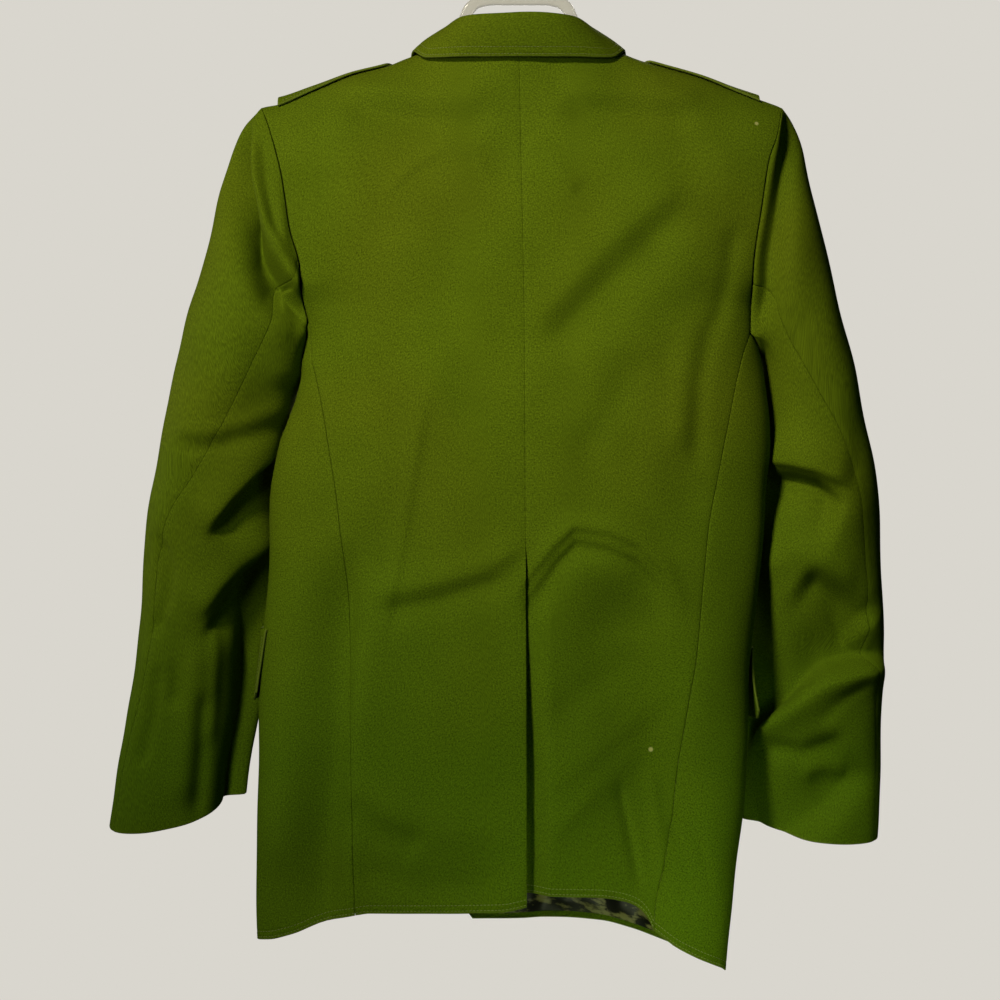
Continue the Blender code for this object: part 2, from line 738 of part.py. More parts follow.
def add_sleeves(panels, cloth):
    for side, sections in (("left", SLEEVE_LEFT), ("right", SLEEVE_RIGHT)):
        loop, into = armhole_loop(panels, side)
        points, seam_back, seam_front = sleeve_rings(sections, loop, into)
        thick = -tube_normals(points) * WALL
        inward = -(thick[0] * -into).sum(axis=-1, keepdims=True)
        thick[0] += np.minimum(inward, 0) * -into
        around = points.shape[1]
        top_columns = np.arange(seam_front - around, seam_back + 1) % around
        under_columns = np.arange(seam_back, seam_front + 1)
        for piece, columns in (("topsleeve", top_columns), ("undersleeve", under_columns)):
            outer = parted(points[:, columns])
            add_wall(f"{piece}_{side}", outer, outer + thick[:, columns], cloth)


# ---------------------------------------------------------------- collar and lapels
def collar_line(name, share):
    index = dict(row=np.linspace(0, 1, len(COLLAR["sewn_x"])))
    return read({**index, name: COLLAR[name]}, "row", name, share)


def collar_sections():
    """Where the collar is sewn on, rolls over and ends, from its left front end to its right one, and
    how far its roll bulges."""
    half = np.linspace(0, 1, 17)
    share = np.concatenate([half[:0:-1], half])
    sign = np.concatenate([-np.ones(16), np.ones(17)])
    face = np.where(share < 0.625, -1, 1)
    x = NECK_MIDDLE + sign * collar_line("sewn_x", share)
    z = collar_line("sewn_z", share)
    down = np.where(np.abs(share - 0.625) < 0.001, 0, down_at(x, z))
    sewn = torso_point(angle_at(x, z, face), down)
    roll = np.stack([collar_line(f"roll_{axis}", share) for axis in "xyz"], -1)
    edge = np.stack([collar_line(f"edge_{axis}", share) for axis in "xyz"], -1)
    for line in (roll, edge):
        line[:, 0] = NECK_MIDDLE + sign * line[:, 0]
    return sewn, roll, edge, collar_line("bulge", share)


def grid_normals(points, outward):
    normals = unit(np.cross(np.gradient(points, axis=0), np.gradient(points, axis=1)))
    return normals * np.sign((normals * outward).sum())


def add_collar(cloth):
    """The stand rises from the neckline, and the fall rolls out of its top edge and down over it."""
    sewn, roll, edge, bulge = collar_sections()
    away = (sewn - (NECK_MIDDLE, 0, 0)) * (1, 1, 0)
    rise = np.linspace(0, 1, 4)[:, None, None]
    start = sewn + (0, 0, COLLAR_LIFT) - unit(away) * 0.5
    stand = start + (roll - start) * rise
    normals = grid_normals(stand, away)
    add_wall("collar_stand", stand, stand - normals * WALL, cloth)

    over = np.linspace(0, 1, 8)[:, None, None]
    run = unit(np.gradient(roll, axis=0))
    upward = roll - sewn
    upward = unit(upward - (upward * run).sum(axis=-1, keepdims=True) * run)
    begin = roll - normals[-1] * WALL + upward * COLLAR_SEAM
    seat, _ = crest_point(edge[:, 0], edge[:, 1])
    edge[:, 2] = np.maximum(edge[:, 2], seat[:, 2] + COLLAR_CLEARANCE)
    first = begin + upward * ROLL_RISE
    second = edge + (begin - edge) * 0.78 + normals[-1] * bulge[:, None]
    fall = (
        (1 - over) ** 3 * begin
        + 3 * (1 - over) ** 2 * over * first
        + 3 * (1 - over) * over**2 * second
        + over**3 * edge
    )
    normals = grid_normals(fall, away)
    add_wall("collar_fall", fall, fall - normals * WALL, cloth)


def add_lapels(cloth):
    """Each lapel rolls out of the front's edge and lies on the panel."""
    for side, sign, bottom in (("left", -1, -408), ("right", 1, -318)):
        seam = FRONT_LEFT_IN if side == "left" else FRONT_RIGHT_IN
        z = np.linspace(-184, bottom, 15)
        x = read(seam, "z", "x", z)
        share = np.linspace(0, 1, len(z))
        width = read(LAPEL, "share", "width", share)
        run = unit(np.stack([np.gradient(x), np.gradient(z)], -1))
        sideways = sign * np.stack([-run[:, 1], run[:, 0]], -1)
        across = np.array([0, 0.1, 0.3, 0.55, 0.78, 1.0])
        lift = np.array([2.4, 5.2, 5.6, 4.6, 3.4, 2.6])
        place = np.stack([x, z], -1)[:, None] + sideways[:, None] * (width[:, None] * across)[..., None]
        flat_x, flat_z = place[..., 0], place[..., 1]
        angle, down = angle_at(flat_x, flat_z, 1), down_at(flat_x, flat_z)
        sink = closing_sink(angle, down) if side == "right" else 0 * down
        points, normals = torso_surface(angle, down, sink)
        outer = points + normals * lift[:, None]
        add_wall(f"lapel_{side}", outer, outer - normals * WALL, cloth)


# ---------------------------------------------------------------- straps, flaps, buttons, lining
def crest_point(x, y):
    """A point of the shoulder at this x and y, near its crest, and the normal there."""

    def place(x, y):
        z = crest_z(x)
        share = np.clip(np.abs(x) / half_width(x, z), 0, 1)
        depth = np.where(y < 0, read(TORSO, "z", "back", z), read(TORSO, "z", "front", z))
        full = depth * (1 - share**SQUARENESS) ** (1 / SQUARENESS)
        turn = np.arcsin(np.clip(np.abs(y) / full, 0, 0.995))
        return np.stack([x, y, z - crest_reach(x) * (1 - np.cos(turn))], -1)

    across = place(x + 0.5, y) - place(x - 0.5, y)
    along = place(x, y + 0.5) - place(x, y - 0.5)
    normals = np.cross(across, along)
    return place(x, y), unit(normals * np.sign(normals[..., 2:]))


def add_straps(cloth, metal):
    for side, sign in (("left", -1), ("right", 1)):
        along = np.linspace(0, 1, 11)[:, None]
        across = np.linspace(0, 1, 9)
        point = smooth((along - 0.86) / 0.14) * 0.8
        reach = STRAP_OUTER + (STRAP_INNER - STRAP_OUTER) * along
        half = (STRAP_BEHIND + STRAP_BEFORE) / 2 * (1 - point)
        x = NECK_MIDDLE + sign * (reach + 0 * across)
        y = (STRAP_BEFORE - STRAP_BEHIND) / 2 + STRAP_TURN * along + (2 * across - 1) * half
        points, normals = crest_point(x, y)
        bow = STRAP_BOW[side] * np.sin(np.pi * across) * (1 - 0.85 * smooth(along))
        under = points + normals * (STRAP_GAP + bow)[..., None]
        add_wall(f"epaulette_{side}", under + normals * STRAP_WALL, under, cloth)
        seat_x = np.array(NECK_MIDDLE + sign * (STRAP_INNER + STRAP_POINT))
        seat, normal = crest_point(seat_x, np.array((STRAP_BEFORE - STRAP_BEHIND) / 2 + STRAP_TURN))
        lift = STRAP_GAP + STRAP_WALL + 0.5 + STRAP_BOW[side] * 0.23
        add_button(f"epaulette_button_{side}", seat + normal * lift, normal, STRAP_BUTTON_RADIUS, metal)


def add_flaps(cloth):
    for side in ("left", "right"):
        first, last = FLAP_ENDS[side]
        along = np.linspace(0, 1, 15)
        low = np.linspace(0, 1, 5)[:, None]
        angle = first + (last - first) * along + FLAP_SLANT[side] * low * (1 - along)
        top = FLAP_TOP[side] + 4 * along
        corner = 7 * (1 - smooth(along / 0.1)) + 7 * smooth((along - 0.9) / 0.1)
        z = top - low * (FLAP_HEIGHT - corner)
        x = torso_point(angle, -z - 150)[..., 0]
        points, normals = torso_surface(angle, down_at(x, z))
        away = LYING_GAP + FLAP_FLARE[side] * low**1.5 * (1 - 0.75 * smooth(along / 0.5))
        under = points + normals * (away + 0 * along)[..., None]
        add_wall(f"pocket_flap_{side}", under + normals * STRAP_WALL, under, cloth)


def add_button(name, centre, normal, radius, metal):
    """A plain domed button: a short rim, a domed face and a flat back."""
    profile = ((0.5, 0.0), (0.92, 0.0), (1.0, 0.12), (0.94, 0.26), (0.7, 0.4), (0.36, 0.48))
    around = 12
    turn = np.linspace(0, 2 * np.pi, around, endpoint=False)[:, None]
    normal = unit(np.asarray(normal).reshape(3))
    sideways = unit(np.cross(normal, (0, 0.3, 1)))
    upward = np.cross(normal, sideways)
    rings = [
        centre + radius * (out * (np.cos(turn) * sideways + np.sin(turn) * upward) + rise * normal)
        for out, rise in profile
    ]
    add_tube(name, np.array(rings), metal)


def add_front_buttons(metal):
    for number, height in enumerate(BUTTON_HEIGHTS, start=1):
        x, z = np.array(float(BUTTON_X)), np.array(float(height))
        seat, normal = torso_surface(angle_at(x, z, 1), down_at(x, z))
        add_button(f"front_button_{number}", seat + normal * 0.6, normal, BUTTON_RADIUS, metal)


def add_lining(panels, satin):
    """The right front's lining, where it shows below the vent."""
    outer, normals = panels["front", "right"]
    z = outer[:, 0, 2]
    rows = np.nonzero((z < LINING_TOP) & (np.arange(len(z)) < len(z) - 1))[0]
    grid = outer[rows, 1:-1] - normals[rows, 1:-1] * (WALL + LYING_GAP)
    normals = normals[rows, 1:-1]
    add_wall("lining_front_right", grid, grid - normals * LINING_WALL, satin)


# ---------------------------------------------------------------- the hanger
def shoulder_run():
    """The hanger's arm just inside the crest of the shoulder, from the neck out to its end."""
    x = np.linspace(92, HANGER_END, 9)
    left, right = crest_z(NECK_MIDDLE - x), crest_z(NECK_MIDDLE + x)
    return x, left, right


def add_hanger(plastic, steel):
    x, left, right = shoulder_run()
    below = WALL + LYING_GAP + HANGER_RADIUS + 0.5
    neck_x, neck_z = HANGER_PATH["x"], HANGER_PATH["z"]
    share = np.linspace(0, neck_x[-1], 12)
    neck = read(HANGER_PATH, "x", "z", share)
    drop_left = below * np.sqrt(1 + np.gradient(left, x) ** 2)
    drop_right = below * np.sqrt(1 + np.gradient(right, x) ** 2)
    path_x = np.concatenate([-x[::-1], -share[:0:-1], share, x]) + NECK_MIDDLE
    path_z = np.concatenate([(left - drop_left)[::-1], neck[:0:-1], neck, right - drop_right])
    path = np.stack([path_x, 0 * path_x, path_z], -1)
    size = np.full((len(path), 2), HANGER_RADIUS)
    size[[0, -1]] *= 0.55
    add_tube("hanger_body", rings_along(path, size, 10), plastic)

    radius = HOOK_INSIDE + HOOK_WIRE
    turn = np.radians(np.linspace(-68, 188, 20))
    arc_x, arc_z = radius * np.cos(turn), radius * np.sin(turn) - HOOK_INSIDE
    foot = HANGER_PATH["z"][0] + HANGER_RADIUS + 0.3
    shank_z = np.linspace(foot, foot + 9, 3)
    hook_x = np.concatenate([NECK_MIDDLE + 0 * shank_z, arc_x])
    hook_z = np.concatenate([shank_z, arc_z])
    hook = np.stack([hook_x, 0 * hook_x, hook_z], -1)
    add_tube("hanger_hook", rings_along(hook, (HOOK_WIRE, HOOK_WIRE), 8), steel)


# ---------------------------------------------------------------- the whole jacket
def clear_scene():
    for part in list(bpy.data.objects):
        bpy.data.objects.remove(part)


def build():
    clear_scene()
    cloth = paint("olive_wool", (0.095, 0.125, 0.012), 0.85)
    satin = paint("lining_satin", (0.02, 0.02, 0.004), 0.4)
    metal = paint("button_metal", (0.5, 0.49, 0.46), 0.35, 1.0)
    plastic = paint("clear_plastic", (0.85, 0.85, 0.82), 0.1, alpha=0.35)
    steel = paint("hook_steel", (0.6, 0.6, 0.6), 0.3, 1.0)
    panels = add_torso(cloth)
    add_sleeves(panels, cloth)
    add_collar(cloth)
    add_lapels(cloth)
    add_straps(cloth, metal)
    add_flaps(cloth)
    add_front_buttons(metal)
    add_lining(panels, satin)
    add_hanger(plastic, steel)


build()
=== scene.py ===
"""A uniform jacket on a clear plastic hanger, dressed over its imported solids: cloth, stitches, buttons.

Lengths are millimetres until a mesh is made, and then metres. +Z is up, +X is the wearer's right, and
the front faces +Y. The origin is the inside top of the hanger's hook.
"""

import bpy
import numpy as np
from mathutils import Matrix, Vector


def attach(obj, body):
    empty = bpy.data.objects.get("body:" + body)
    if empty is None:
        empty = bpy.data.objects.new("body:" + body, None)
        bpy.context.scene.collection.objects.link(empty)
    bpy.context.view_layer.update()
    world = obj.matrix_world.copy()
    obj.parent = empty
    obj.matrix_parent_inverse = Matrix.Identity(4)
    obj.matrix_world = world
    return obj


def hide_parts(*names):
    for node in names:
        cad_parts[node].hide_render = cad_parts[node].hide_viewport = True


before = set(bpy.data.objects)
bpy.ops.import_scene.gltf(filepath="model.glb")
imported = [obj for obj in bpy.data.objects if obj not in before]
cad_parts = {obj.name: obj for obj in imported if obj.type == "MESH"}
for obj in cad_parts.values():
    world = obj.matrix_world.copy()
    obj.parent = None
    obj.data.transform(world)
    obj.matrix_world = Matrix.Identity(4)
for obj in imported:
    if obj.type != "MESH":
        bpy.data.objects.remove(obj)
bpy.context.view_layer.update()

# ---------------------------------------------------------------- studio
# The camera stands behind the jacket, level with its middle, where the photograph was taken. A soft lamp
# shines from the upper left and a weaker one from the left; small ones lift the hem and the right side, and
# others light the wall's side and the front. Room and floor are pale.
VIEW_DISTANCE, VIEW_WIDTH = 1.9, 0.85
VIEW_X, VIEW_Z = -0.01275, -0.505
FLOOR_Z = -1.95

LAMPS = (
    # name, place, aimed at, size, spread in degrees, watts, colour
    ("key_lamp", (-1.05, -1.92, 1.0), (0.1, 0.0, -0.42), 0.45, 40, 2.3, "fff6e0"),
    ("side_lamp", (-0.9, -1.5, -0.3), (0.05, 0.0, -0.35), 0.42, 52, 0.55, "f4ffe8"),
    ("hem_lamp", (0.3, -1.7, -1.4), (0.13, 0.0, -0.93), 0.25, 16, 0.12, "f0ffc8"),
    ("fill_lamp", (0.9, -1.5, -0.1), (0.0, 0.0, -0.38), 0.5, 52, 0.08, "c8ffb4"),
    ("wall_lamp", (-1.2, 0.25, -0.3), (-0.28, 0.0, -0.42), 0.6, 70, 0.4, "fffbe8"),
    ("front_lamp", (0.3, 2.1, 0.7), (0.0, 0.0, -0.45), 1.2, 120, 12.0, "fff8ee"),
)


def hex_colour(code):
    """An sRGB hex colour as linear red, green, blue and alpha."""
    parts = np.array([int(code[i : i + 2], 16) for i in (0, 2, 4)]) / 255
    linear = np.where(parts <= 0.04045, parts / 12.92, ((parts + 0.055) / 1.055) ** 2.4)
    return (*[float(part) for part in linear], 1.0)


def add_node(tree, kind, inputs=None, **settings):
    """A node with its settings, and its inputs given as values or as sockets to link."""
    made = tree.nodes.new(kind)
    for name, value in settings.items():
        setattr(made, name, value)
    for name, value in (inputs or {}).items():
        if isinstance(value, bpy.types.NodeSocket):
            tree.links.new(value, made.inputs[name])
        else:
            made.inputs[name].default_value = value
    return made


def new_material(name):
    """A material's tree and its shader."""
    material = bpy.data.materials.new(name)
    material.use_nodes = True
    return material, material.node_tree, material.node_tree.nodes["Principled BSDF"]


def set_shader(shader, constants):
    """Constants set on the shader's own sockets."""
    for name, value in constants.items():
        shader.inputs[name].default_value = value


def place_object(name, data):
    made = bpy.data.objects.new(name, data)
    bpy.context.scene.collection.objects.link(made)
    return made


camera = place_object("camera", bpy.data.cameras.new("camera"))
camera.data.sensor_width = 36.0
camera.data.lens = camera.data.sensor_width * VIEW_DISTANCE / VIEW_WIDTH
camera.location = (VIEW_X, -VIEW_DISTANCE, VIEW_Z)
camera.rotation_euler = (np.pi / 2, 0, 0)
bpy.context.scene.camera = camera
bpy.context.scene.view_settings.view_transform = "Standard"

for name, place, aim, size, spread, watts, code in LAMPS:
    lamp = place_object(name, bpy.data.lights.new(name, "AREA"))
    lamp.data.shape = "DISK"
    lamp.data.size = size
    lamp.data.spread = np.radians(spread)
    lamp.data.energy = watts
    lamp.data.color = hex_colour(code)[:3]
    lamp.location = place
    lamp.rotation_euler = (Vector(aim) - Vector(place)).to_track_quat("-Z", "Y").to_euler()

# The room is seen as a pale plastered wall, and gives a weaker light than it would if it were as near.
world = bpy.data.worlds.new("room")
bpy.context.scene.world = world
world.use_nodes = True
room = world.node_tree
wall_seen = add_node(room, "ShaderNodeBackground", {"Color": hex_colour("d9d6ce"), "Strength": 1.0})
wall_light = add_node(room, "ShaderNodeBackground", {"Color": hex_colour("e4e4e2"), "Strength": 0.004})
ray = add_node(room, "ShaderNodeLightPath")
both = add_node(room, "ShaderNodeMixShader", {0: ray.outputs["Is Camera Ray"], 1: wall_light.outputs[0]})
room.links.new(wall_seen.outputs[0], both.inputs[2])
room.links.new(both.outputs[0], room.nodes["World Output"].inputs["Surface"])

floor_mesh = bpy.data.meshes.new("floor")
corners = [(-2.5, -3.5, FLOOR_Z), (2.5, -3.5, FLOOR_Z), (2.5, 2.0, FLOOR_Z), (-2.5, 2.0, FLOOR_Z)]
floor_mesh.from_pydata(corners, [], [(0, 1, 2, 3)])
floor = place_object("floor", floor_mesh)
floor_paint, _, shader = new_material("painted_floor")
pale = hex_colour("dddad3")
# The lamps hardly reach the floor, so it glows for the camera alone and casts no light on the cloth.
set_shader(shader, {"Base Color": pale, "Roughness": 0.9, "Emission Color": pale, "Emission Strength": 0.75})
floor.visible_diffuse = floor.visible_glossy = False
floor_mesh.materials.append(floor_paint)

# ---------------------------------------------------------------- back panels
# Two panels of olive wool serge from the shoulder seams to the hem, sewn together down the middle. Below
# that seam the left panel laps over the right one as the vent. The pressed hems are topstitched twice.
MM = 0.001
WALL = 1.7
SEAM_GAP = 0.34
SQUARENESS = 2.5
NECK_MIDDLE, NECK_SIDE = 3.0, 78.0
VENT_TOP, VENT_UNDERLAP = -575.0, 40.0
VENT_SINK, VENT_SAG = 3.8, 11.0
# Where the underlap starts to sink and to gape, from the vent's top, and how long each takes to grow.
VENT_SINKS, VENT_SINK_RUN, VENT_GAPES, VENT_GAPE_RUN, VENT_BLEND = 40.0, 34.0, -10.0, 160.0, 22.0
NECK_BLEND = 40.0
CLOTH_STEP, FINE_STEP = 3.8, 2.7
SEAM_EDGE = (0, 0.12, 0.4, 0.85, 1.8)
STITCHED_EDGE = (0, 0.12, 0.4, 0.85, 1.5, 2.2, 3.0, 4.0, 5.2, 6.2, 7.0, 8.2, 9.8)
SEAM_DIP, STITCH_DIP, SEAM_ROLL = 0.4, 0.3, 0.4
HEM_ROWS = (2.3, 6.8)


def table(columns, *rows):
    return dict(zip(columns.split(), np.array(rows, float).T))


TORSO = table(
    "z left right back front",
    (-80, 262, 270, 44, 46),
    (-200, 262, 270, 50, 48),
    (-250, 248, 256, 56, 52),
    (-310, 214, 232, 59, 56),
    (-345, 182, 206, 59, 58),
    (-369, 176, 207, 59, 59),
    (-412, 184, 213, 57, 59),
    (-440, 192, 216.5, 55.5, 58),
    (-457, 198, 217, 54, 57),
    (-505, 207.5, 212, 51, 55),
    (-590, 212, 205.5, 50, 55),
    (-675, 216, 198.5, 50, 57),
    (-760, 219, 193.5, 47, 59),
    (-845, 220, 186, 43, 60),
    (-905, 219, 178.5, 41, 60),
)
CREST = table(
    "x z",
    (-250, -176),
    (-215, -171.4),
    (-200, -169),
    (-169, -157.4),
    (-137, -144.5),
    (-109, -137),
    (-93, -130.6),
    (-76, -124),
    (-58, -110),
    (-36, -97),
    (0, -90),
    (40, -97),
    (64, -110),
    (84, -122.5),
    (105, -131.4),
    (123, -137),
    (158, -147.2),
    (184, -157.2),
    (212, -166.5),
    (228, -172),
    (250, -178),
)
BACK_LEFT_OUT = table(
    "z x",
    (-172.6, -214.6),
    (-194, -206),
    (-238, -193.9),
    (-280, -187.9),
    (-307, -180.3),
    (-338, -176.4),
    (-358, -172.2),
    (-395, -167.9),
    (-427, -161),
    (-465, -155),
    (-507, -148.3),
    (-561, -142.9),
    (-621, -140.8),
    (-746, -137.5),
    (-852, -133.6),
)
BACK_RIGHT_OUT = table(
    "z x",
    (-172, 226.2),
    (-200, 219.2),
    (-221, 211.5),
    (-256, 206.1),
    (-311, 199),
    (-338, 198.4),
    (-362, 197.8),
    (-384, 190.5),
    (-412, 183.2),
    (-447, 176.7),
    (-488, 168.9),
    (-527, 161.9),
    (-572, 157.2),
    (-632, 152.2),
    (-678, 145.4),
    (-728, 137.9),
    (-772, 133.5),
    (-807, 127.3),
    (-843, 119.8),
    (-870, 117),
)
CENTRE_SEAM = table("z x", (-120, 3), (-216, 4.6), (-340, 7), (-464, 7.9), (-580, 8.8), (-844, 9.7))
UNDERLAP_EDGE = table(
    "z x",
    (-120, 3),
    (-216, 4.6),
    (-340, 7),
    (-464, 7.9),
    (-560, 8.6),
    (VENT_TOP, 8.7),
    (VENT_TOP - 90, 9 - VENT_UNDERLAP),
    (-840, 9 - VENT_UNDERLAP),
)
NECKLINE = table("out z", (0, -131), (30, -130.4), (55, -128), (NECK_SIDE, -124))
HEM_BACK_LEFT = table("x z", (-134, -851.7), (-121, -849.7), (-46, -849), (-12, -848), (10, -844))
HEM_BACK_RIGHT = table(
    "x z", (-31, -834), (16, -835), (70, -837.5), (91, -841.5), (104, -847), (112, -855), (117, -866)
)
ARMHOLE_SHARE = {"back": 0.278, "front": 0.268}

# Folds and creases, drawn one by one: the face they lie on (-1 back, 1 front, 0 round both), how far they
# rise or, below 0, sink, how wide they are on their left and right going along the line, and its x and z.
TORSO_CREASES = (
    (-1, 3.4, 10, 8, ((-150, -157), (-104, -164), (-62, -169), (-19, -172))),
    (-1, -4.2, 8, 18, ((-145, -176), (-100, -184), (-62, -190), (-20, -194))),
    (-1, 3.0, 10, 7, ((34, -163), (95, -165), (159, -170))),
    (-1, -3.4, 7, 16, ((34, -180), (95, -183), (154, -187))),
    (-1, 2.2, 10, 4, ((10, -206), (32, -229), (50, -254))),
    (-1, 1.4, 8, 4, ((-110, -252), (-79, -225), (-57, -212), (-34, -220), (-14, -247))),
    (-1, 3.4, 12, 24, ((138, -236), (74, -294), (10, -362))),
    (-1, -3.6, 22, 12, ((152, -256), (95, -310), (22, -384))),
    (-1, -2.4, 16, 16, ((104, -380), (84, -420), (50, -480))),
    (-1, -2.4, 7, 9, ((184, -276), (178, -319), (167, -366))),
    (-1, -2.6, 9, 9, ((166, -350), (154, -406), (150, -482))),
    (-1, 1.6, 10, 10, ((144, -354), (138, -406), (134, -465))),
    (-1, 1.5, 5, 10, ((-73, -410), (-86, -488), (-97, -555), (-114, -631))),
    (-1, 3.0, 14, 7, ((-122, -584), (-71, -574), (-29, -562), (10, -541))),
    (-1, -2.6, 6, 14, ((-118, -600), (-62, -588), (0, -568))),
    (
        *(-1, 3.0, 10, 4),
        ((-4, -588), (12, -566), (30, -543), (48, -526), (78, -530), (103, -541), (126, -564), (142, -592)),
    ),
    (
        *(-1, -3.4, 4, 12),
        ((4, -600), (20, -582), (36, -558), (51, -543), (78, -548), (99, -558), (118, -578), (130, -600)),
    ),
    (-1, -14.0, 38, 54, ((84, -560), (104, -640), (114, -740), (114, -860), (110, -900))),
    (-1, 1.1, 12, 10, ((27, -742), (84, -704), (136, -657))),
    (-1, -1.1, 12, 14, ((7, -713), (58, -664), (115, -631))),
    (-1, 1.4, 10, 12, ((22, -789), (68, -747), (107, -707))),
    (-1, -3.0, 4, 6, ((87, -740), (98, -786), (107, -834))),
    (-1, 2.2, 6, 6, ((115, -728), (121, -778), (128, -829))),
    (-1, -3.4, 5, 5, ((133, -776), (144, -799), (153, -832))),
    (-1, -3.0, 4, 5, ((152, -778), (160, -808), (165, -836))),
    (-1, -13.0, 12, 24, ((-138, -540), (-145, -640), (-152, -737), (-158, -800), (-160, -880))),
    (-1, 3.0, 14, 14, ((-186, -634), (-194, -737), (-198, -823))),
    (-1, 2.4, 24, 16, ((-142, -755), (-79, -776), (-29, -785), (12, -779))),
    (-1, -2.8, 16, 16, ((-140, -812), (-79, -826), (-8, -830))),
    (-1, -3.4, 12, 18, ((-140, -756), (-112, -780), (-76, -794))),
    (0, 3.2, 18, 18, ((-174, -312), (-178, -402))),
    (1, -3.2, 14, 12, ((150, -262), (116, -300), (90, -338))),
    (1, -3.0, 12, 12, ((-140, -256), (-108, -292), (-84, -336))),
    (1, 2.6, 18, 18, ((-150, -470), (-132, -560), (-128, -640))),
    (1, -2.6, 14, 16, ((-88, -540), (-60, -500), (-36, -484))),
    (1, -2.8, 12, 16, ((64, -540), (100, -498), (132, -480))),
    (1, 2.5, 16, 18, ((146, -700), (138, -780), (130, -850))),
    (1, -2.7, 14, 14, ((-150, -700), (-142, -770), (-130, -830))),
    (1, -2.5, 14, 14, ((40, -700), (62, -770), (68, -840))),
)
# Slow unevenness of pressed cloth: wavelengths across and down, phases, and height.
WAVER = (
    (190, 260, 0.4, 0.75),
    (-120, 170, 1.9, 0.55),
    (75, -140, 3.3, 0.38),
    (-58, -88, 5.1, 0.24),
    (44, 300, 2.4, 0.16),
)


def read(values, key, column, at):
    """A column read between its rows along a smooth curve that doesn't swing past them."""
    x, y = values[key], values[column]
    if x[0] > x[-1]:
        x, y = x[::-1], y[::-1]
    step = np.diff(x)
    slope = np.diff(y) / step
    tangent = np.zeros_like(y)
    tangent[0], tangent[-1] = slope[0], slope[-1]
    same = slope[:-1] * slope[1:] > 0
    harmonic = 2 * slope[:-1] * slope[1:] / np.where(same, slope[:-1] + slope[1:], 1)
    tangent[1:-1] = np.where(same, harmonic, 0)
    at = np.clip(np.asarray(at, float), x[0], x[-1])
    i = np.clip(np.searchsorted(x, at) - 1, 0, len(step) - 1)
    t = (at - x[i]) / step[i]
    return (
        (2 * t**3 - 3 * t**2 + 1) * y[i]
        + (t**3 - 2 * t**2 + t) * step[i] * tangent[i]
        + (3 * t**2 - 2 * t**3) * y[i + 1]
        + (t**3 - t**2) * step[i] * tangent[i + 1]
    )


def smooth(value):
    value = np.clip(value, 0, 1)
    return value * value * (3 - 2 * value)


def unit(vectors):
    return vectors / np.maximum(np.linalg.norm(vectors, axis=-1, keepdims=True), 1e-9)


def crest_z(x):
    return read(CREST, "x", "z", x)


def crest_reach(x):
    """How far below the shoulder's crest the body has its full depth."""
    return 75 + 45 * np.exp(-((x / 120) ** 2))


def drop_below_crest(down, x):
    reach = crest_reach(x)
    turn = np.clip(down / reach, 0, 1) * np.pi / 2
    return np.where(down < reach, reach * (1 - np.cos(turn)), down)


def down_at(x, z):
    """Distance down the cloth's curve from the crest, for a point at this x and z."""
    reach = crest_reach(x)
    drop = np.maximum(crest_z(x) - z, 0)
    near = reach * np.arccos(np.clip(1 - drop / reach, 0, 1)) * 2 / np.pi
    return np.where(drop < reach, near, drop)


def half_width(x_sign, z):
    return np.where(x_sign < 0, read(TORSO, "z", "left", z), read(TORSO, "z", "right", z))


def angle_at(x, z, face):
    """Degrees round the body, from +X by the front (+Y): face is 1 for the front, -1 for the back."""
    share = np.clip(np.abs(x) / half_width(x, z), 0, 1)
    depth = (1 - share**SQUARENESS) ** (1 / SQUARENESS)
    return np.degrees(np.arctan2(face * depth, np.sign(x) * share)) % 360


def torso_point(angle, down):
    angle, down = np.broadcast_arrays(np.asarray(angle, float), np.asarray(down, float))
    cosine, sine = np.cos(np.radians(angle)), np.sin(np.radians(angle))
    spread = (np.abs(cosine) ** SQUARENESS + np.abs(sine) ** SQUARENESS) ** (-1 / SQUARENESS)
    z = -150 - down
    for _ in range(8):
        x = half_width(cosine, z) * cosine * spread
        z = crest_z(x) - drop_below_crest(down, x)
    depth = np.where(sine < 0, read(TORSO, "z", "back", z), read(TORSO, "z", "front", z))
    swell = np.sin(np.clip(down / crest_reach(x), 0, 1) * np.pi / 2)
    return np.stack([x, depth * sine * spread * swell, z], -1)


def torso_normal(angle, down):
    turn, step = 0.4, 0.8
    across = torso_point(angle + turn, down) - torso_point(angle - turn, down)
    along = torso_point(angle, down + step) - torso_point(angle, np.maximum(down - step, 0))
    return unit(np.cross(along, across))


def creased(points, normals, creases):
    """Height of the listed creases, which fade at their ends and differ in width on their two sides."""
    height = np.zeros(points.shape[:-1])
    for face, depth, left, right, line in creases:
        line = np.array(line, float)
        run = np.diff(line, axis=0)
        offset = points[..., None, [0, 2]] - line[:-1]
        share = np.clip((offset * run).sum(-1) / (run * run).sum(-1), 0, 1)
        away = offset - share[..., None] * run
        distance = np.linalg.norm(away, axis=-1)
        nearest = distance.argmin(-1)[..., None]
        turned = run[:, 0] * away[..., 1] - run[:, 1] * away[..., 0]
        side = np.take_along_axis(turned, nearest, -1)[..., 0]
        near = np.take_along_axis(distance, nearest, -1)[..., 0]
        chord = line[-1] - line[0]
        along = offset[..., 0, :] @ chord / (chord @ chord)
        ends = smooth(np.minimum(along, 1 - along) * 5 + 0.16)
        width = np.where(side > 0, left, right)
        facing = smooth(face * normals[..., 1] * 1.6) if face else 1.0
        height += depth * facing * ends * np.exp(-((near / width) ** 2))
    return height


def wavered(points):
    height = np.zeros(points.shape[:-1])
    for across, down, phase, size in WAVER:
        turn = 2 * np.pi * (points[..., 0] / across + points[..., 2] / down) + phase
        height += size * np.sin(turn + 0.03 * points[..., 1])
    return height


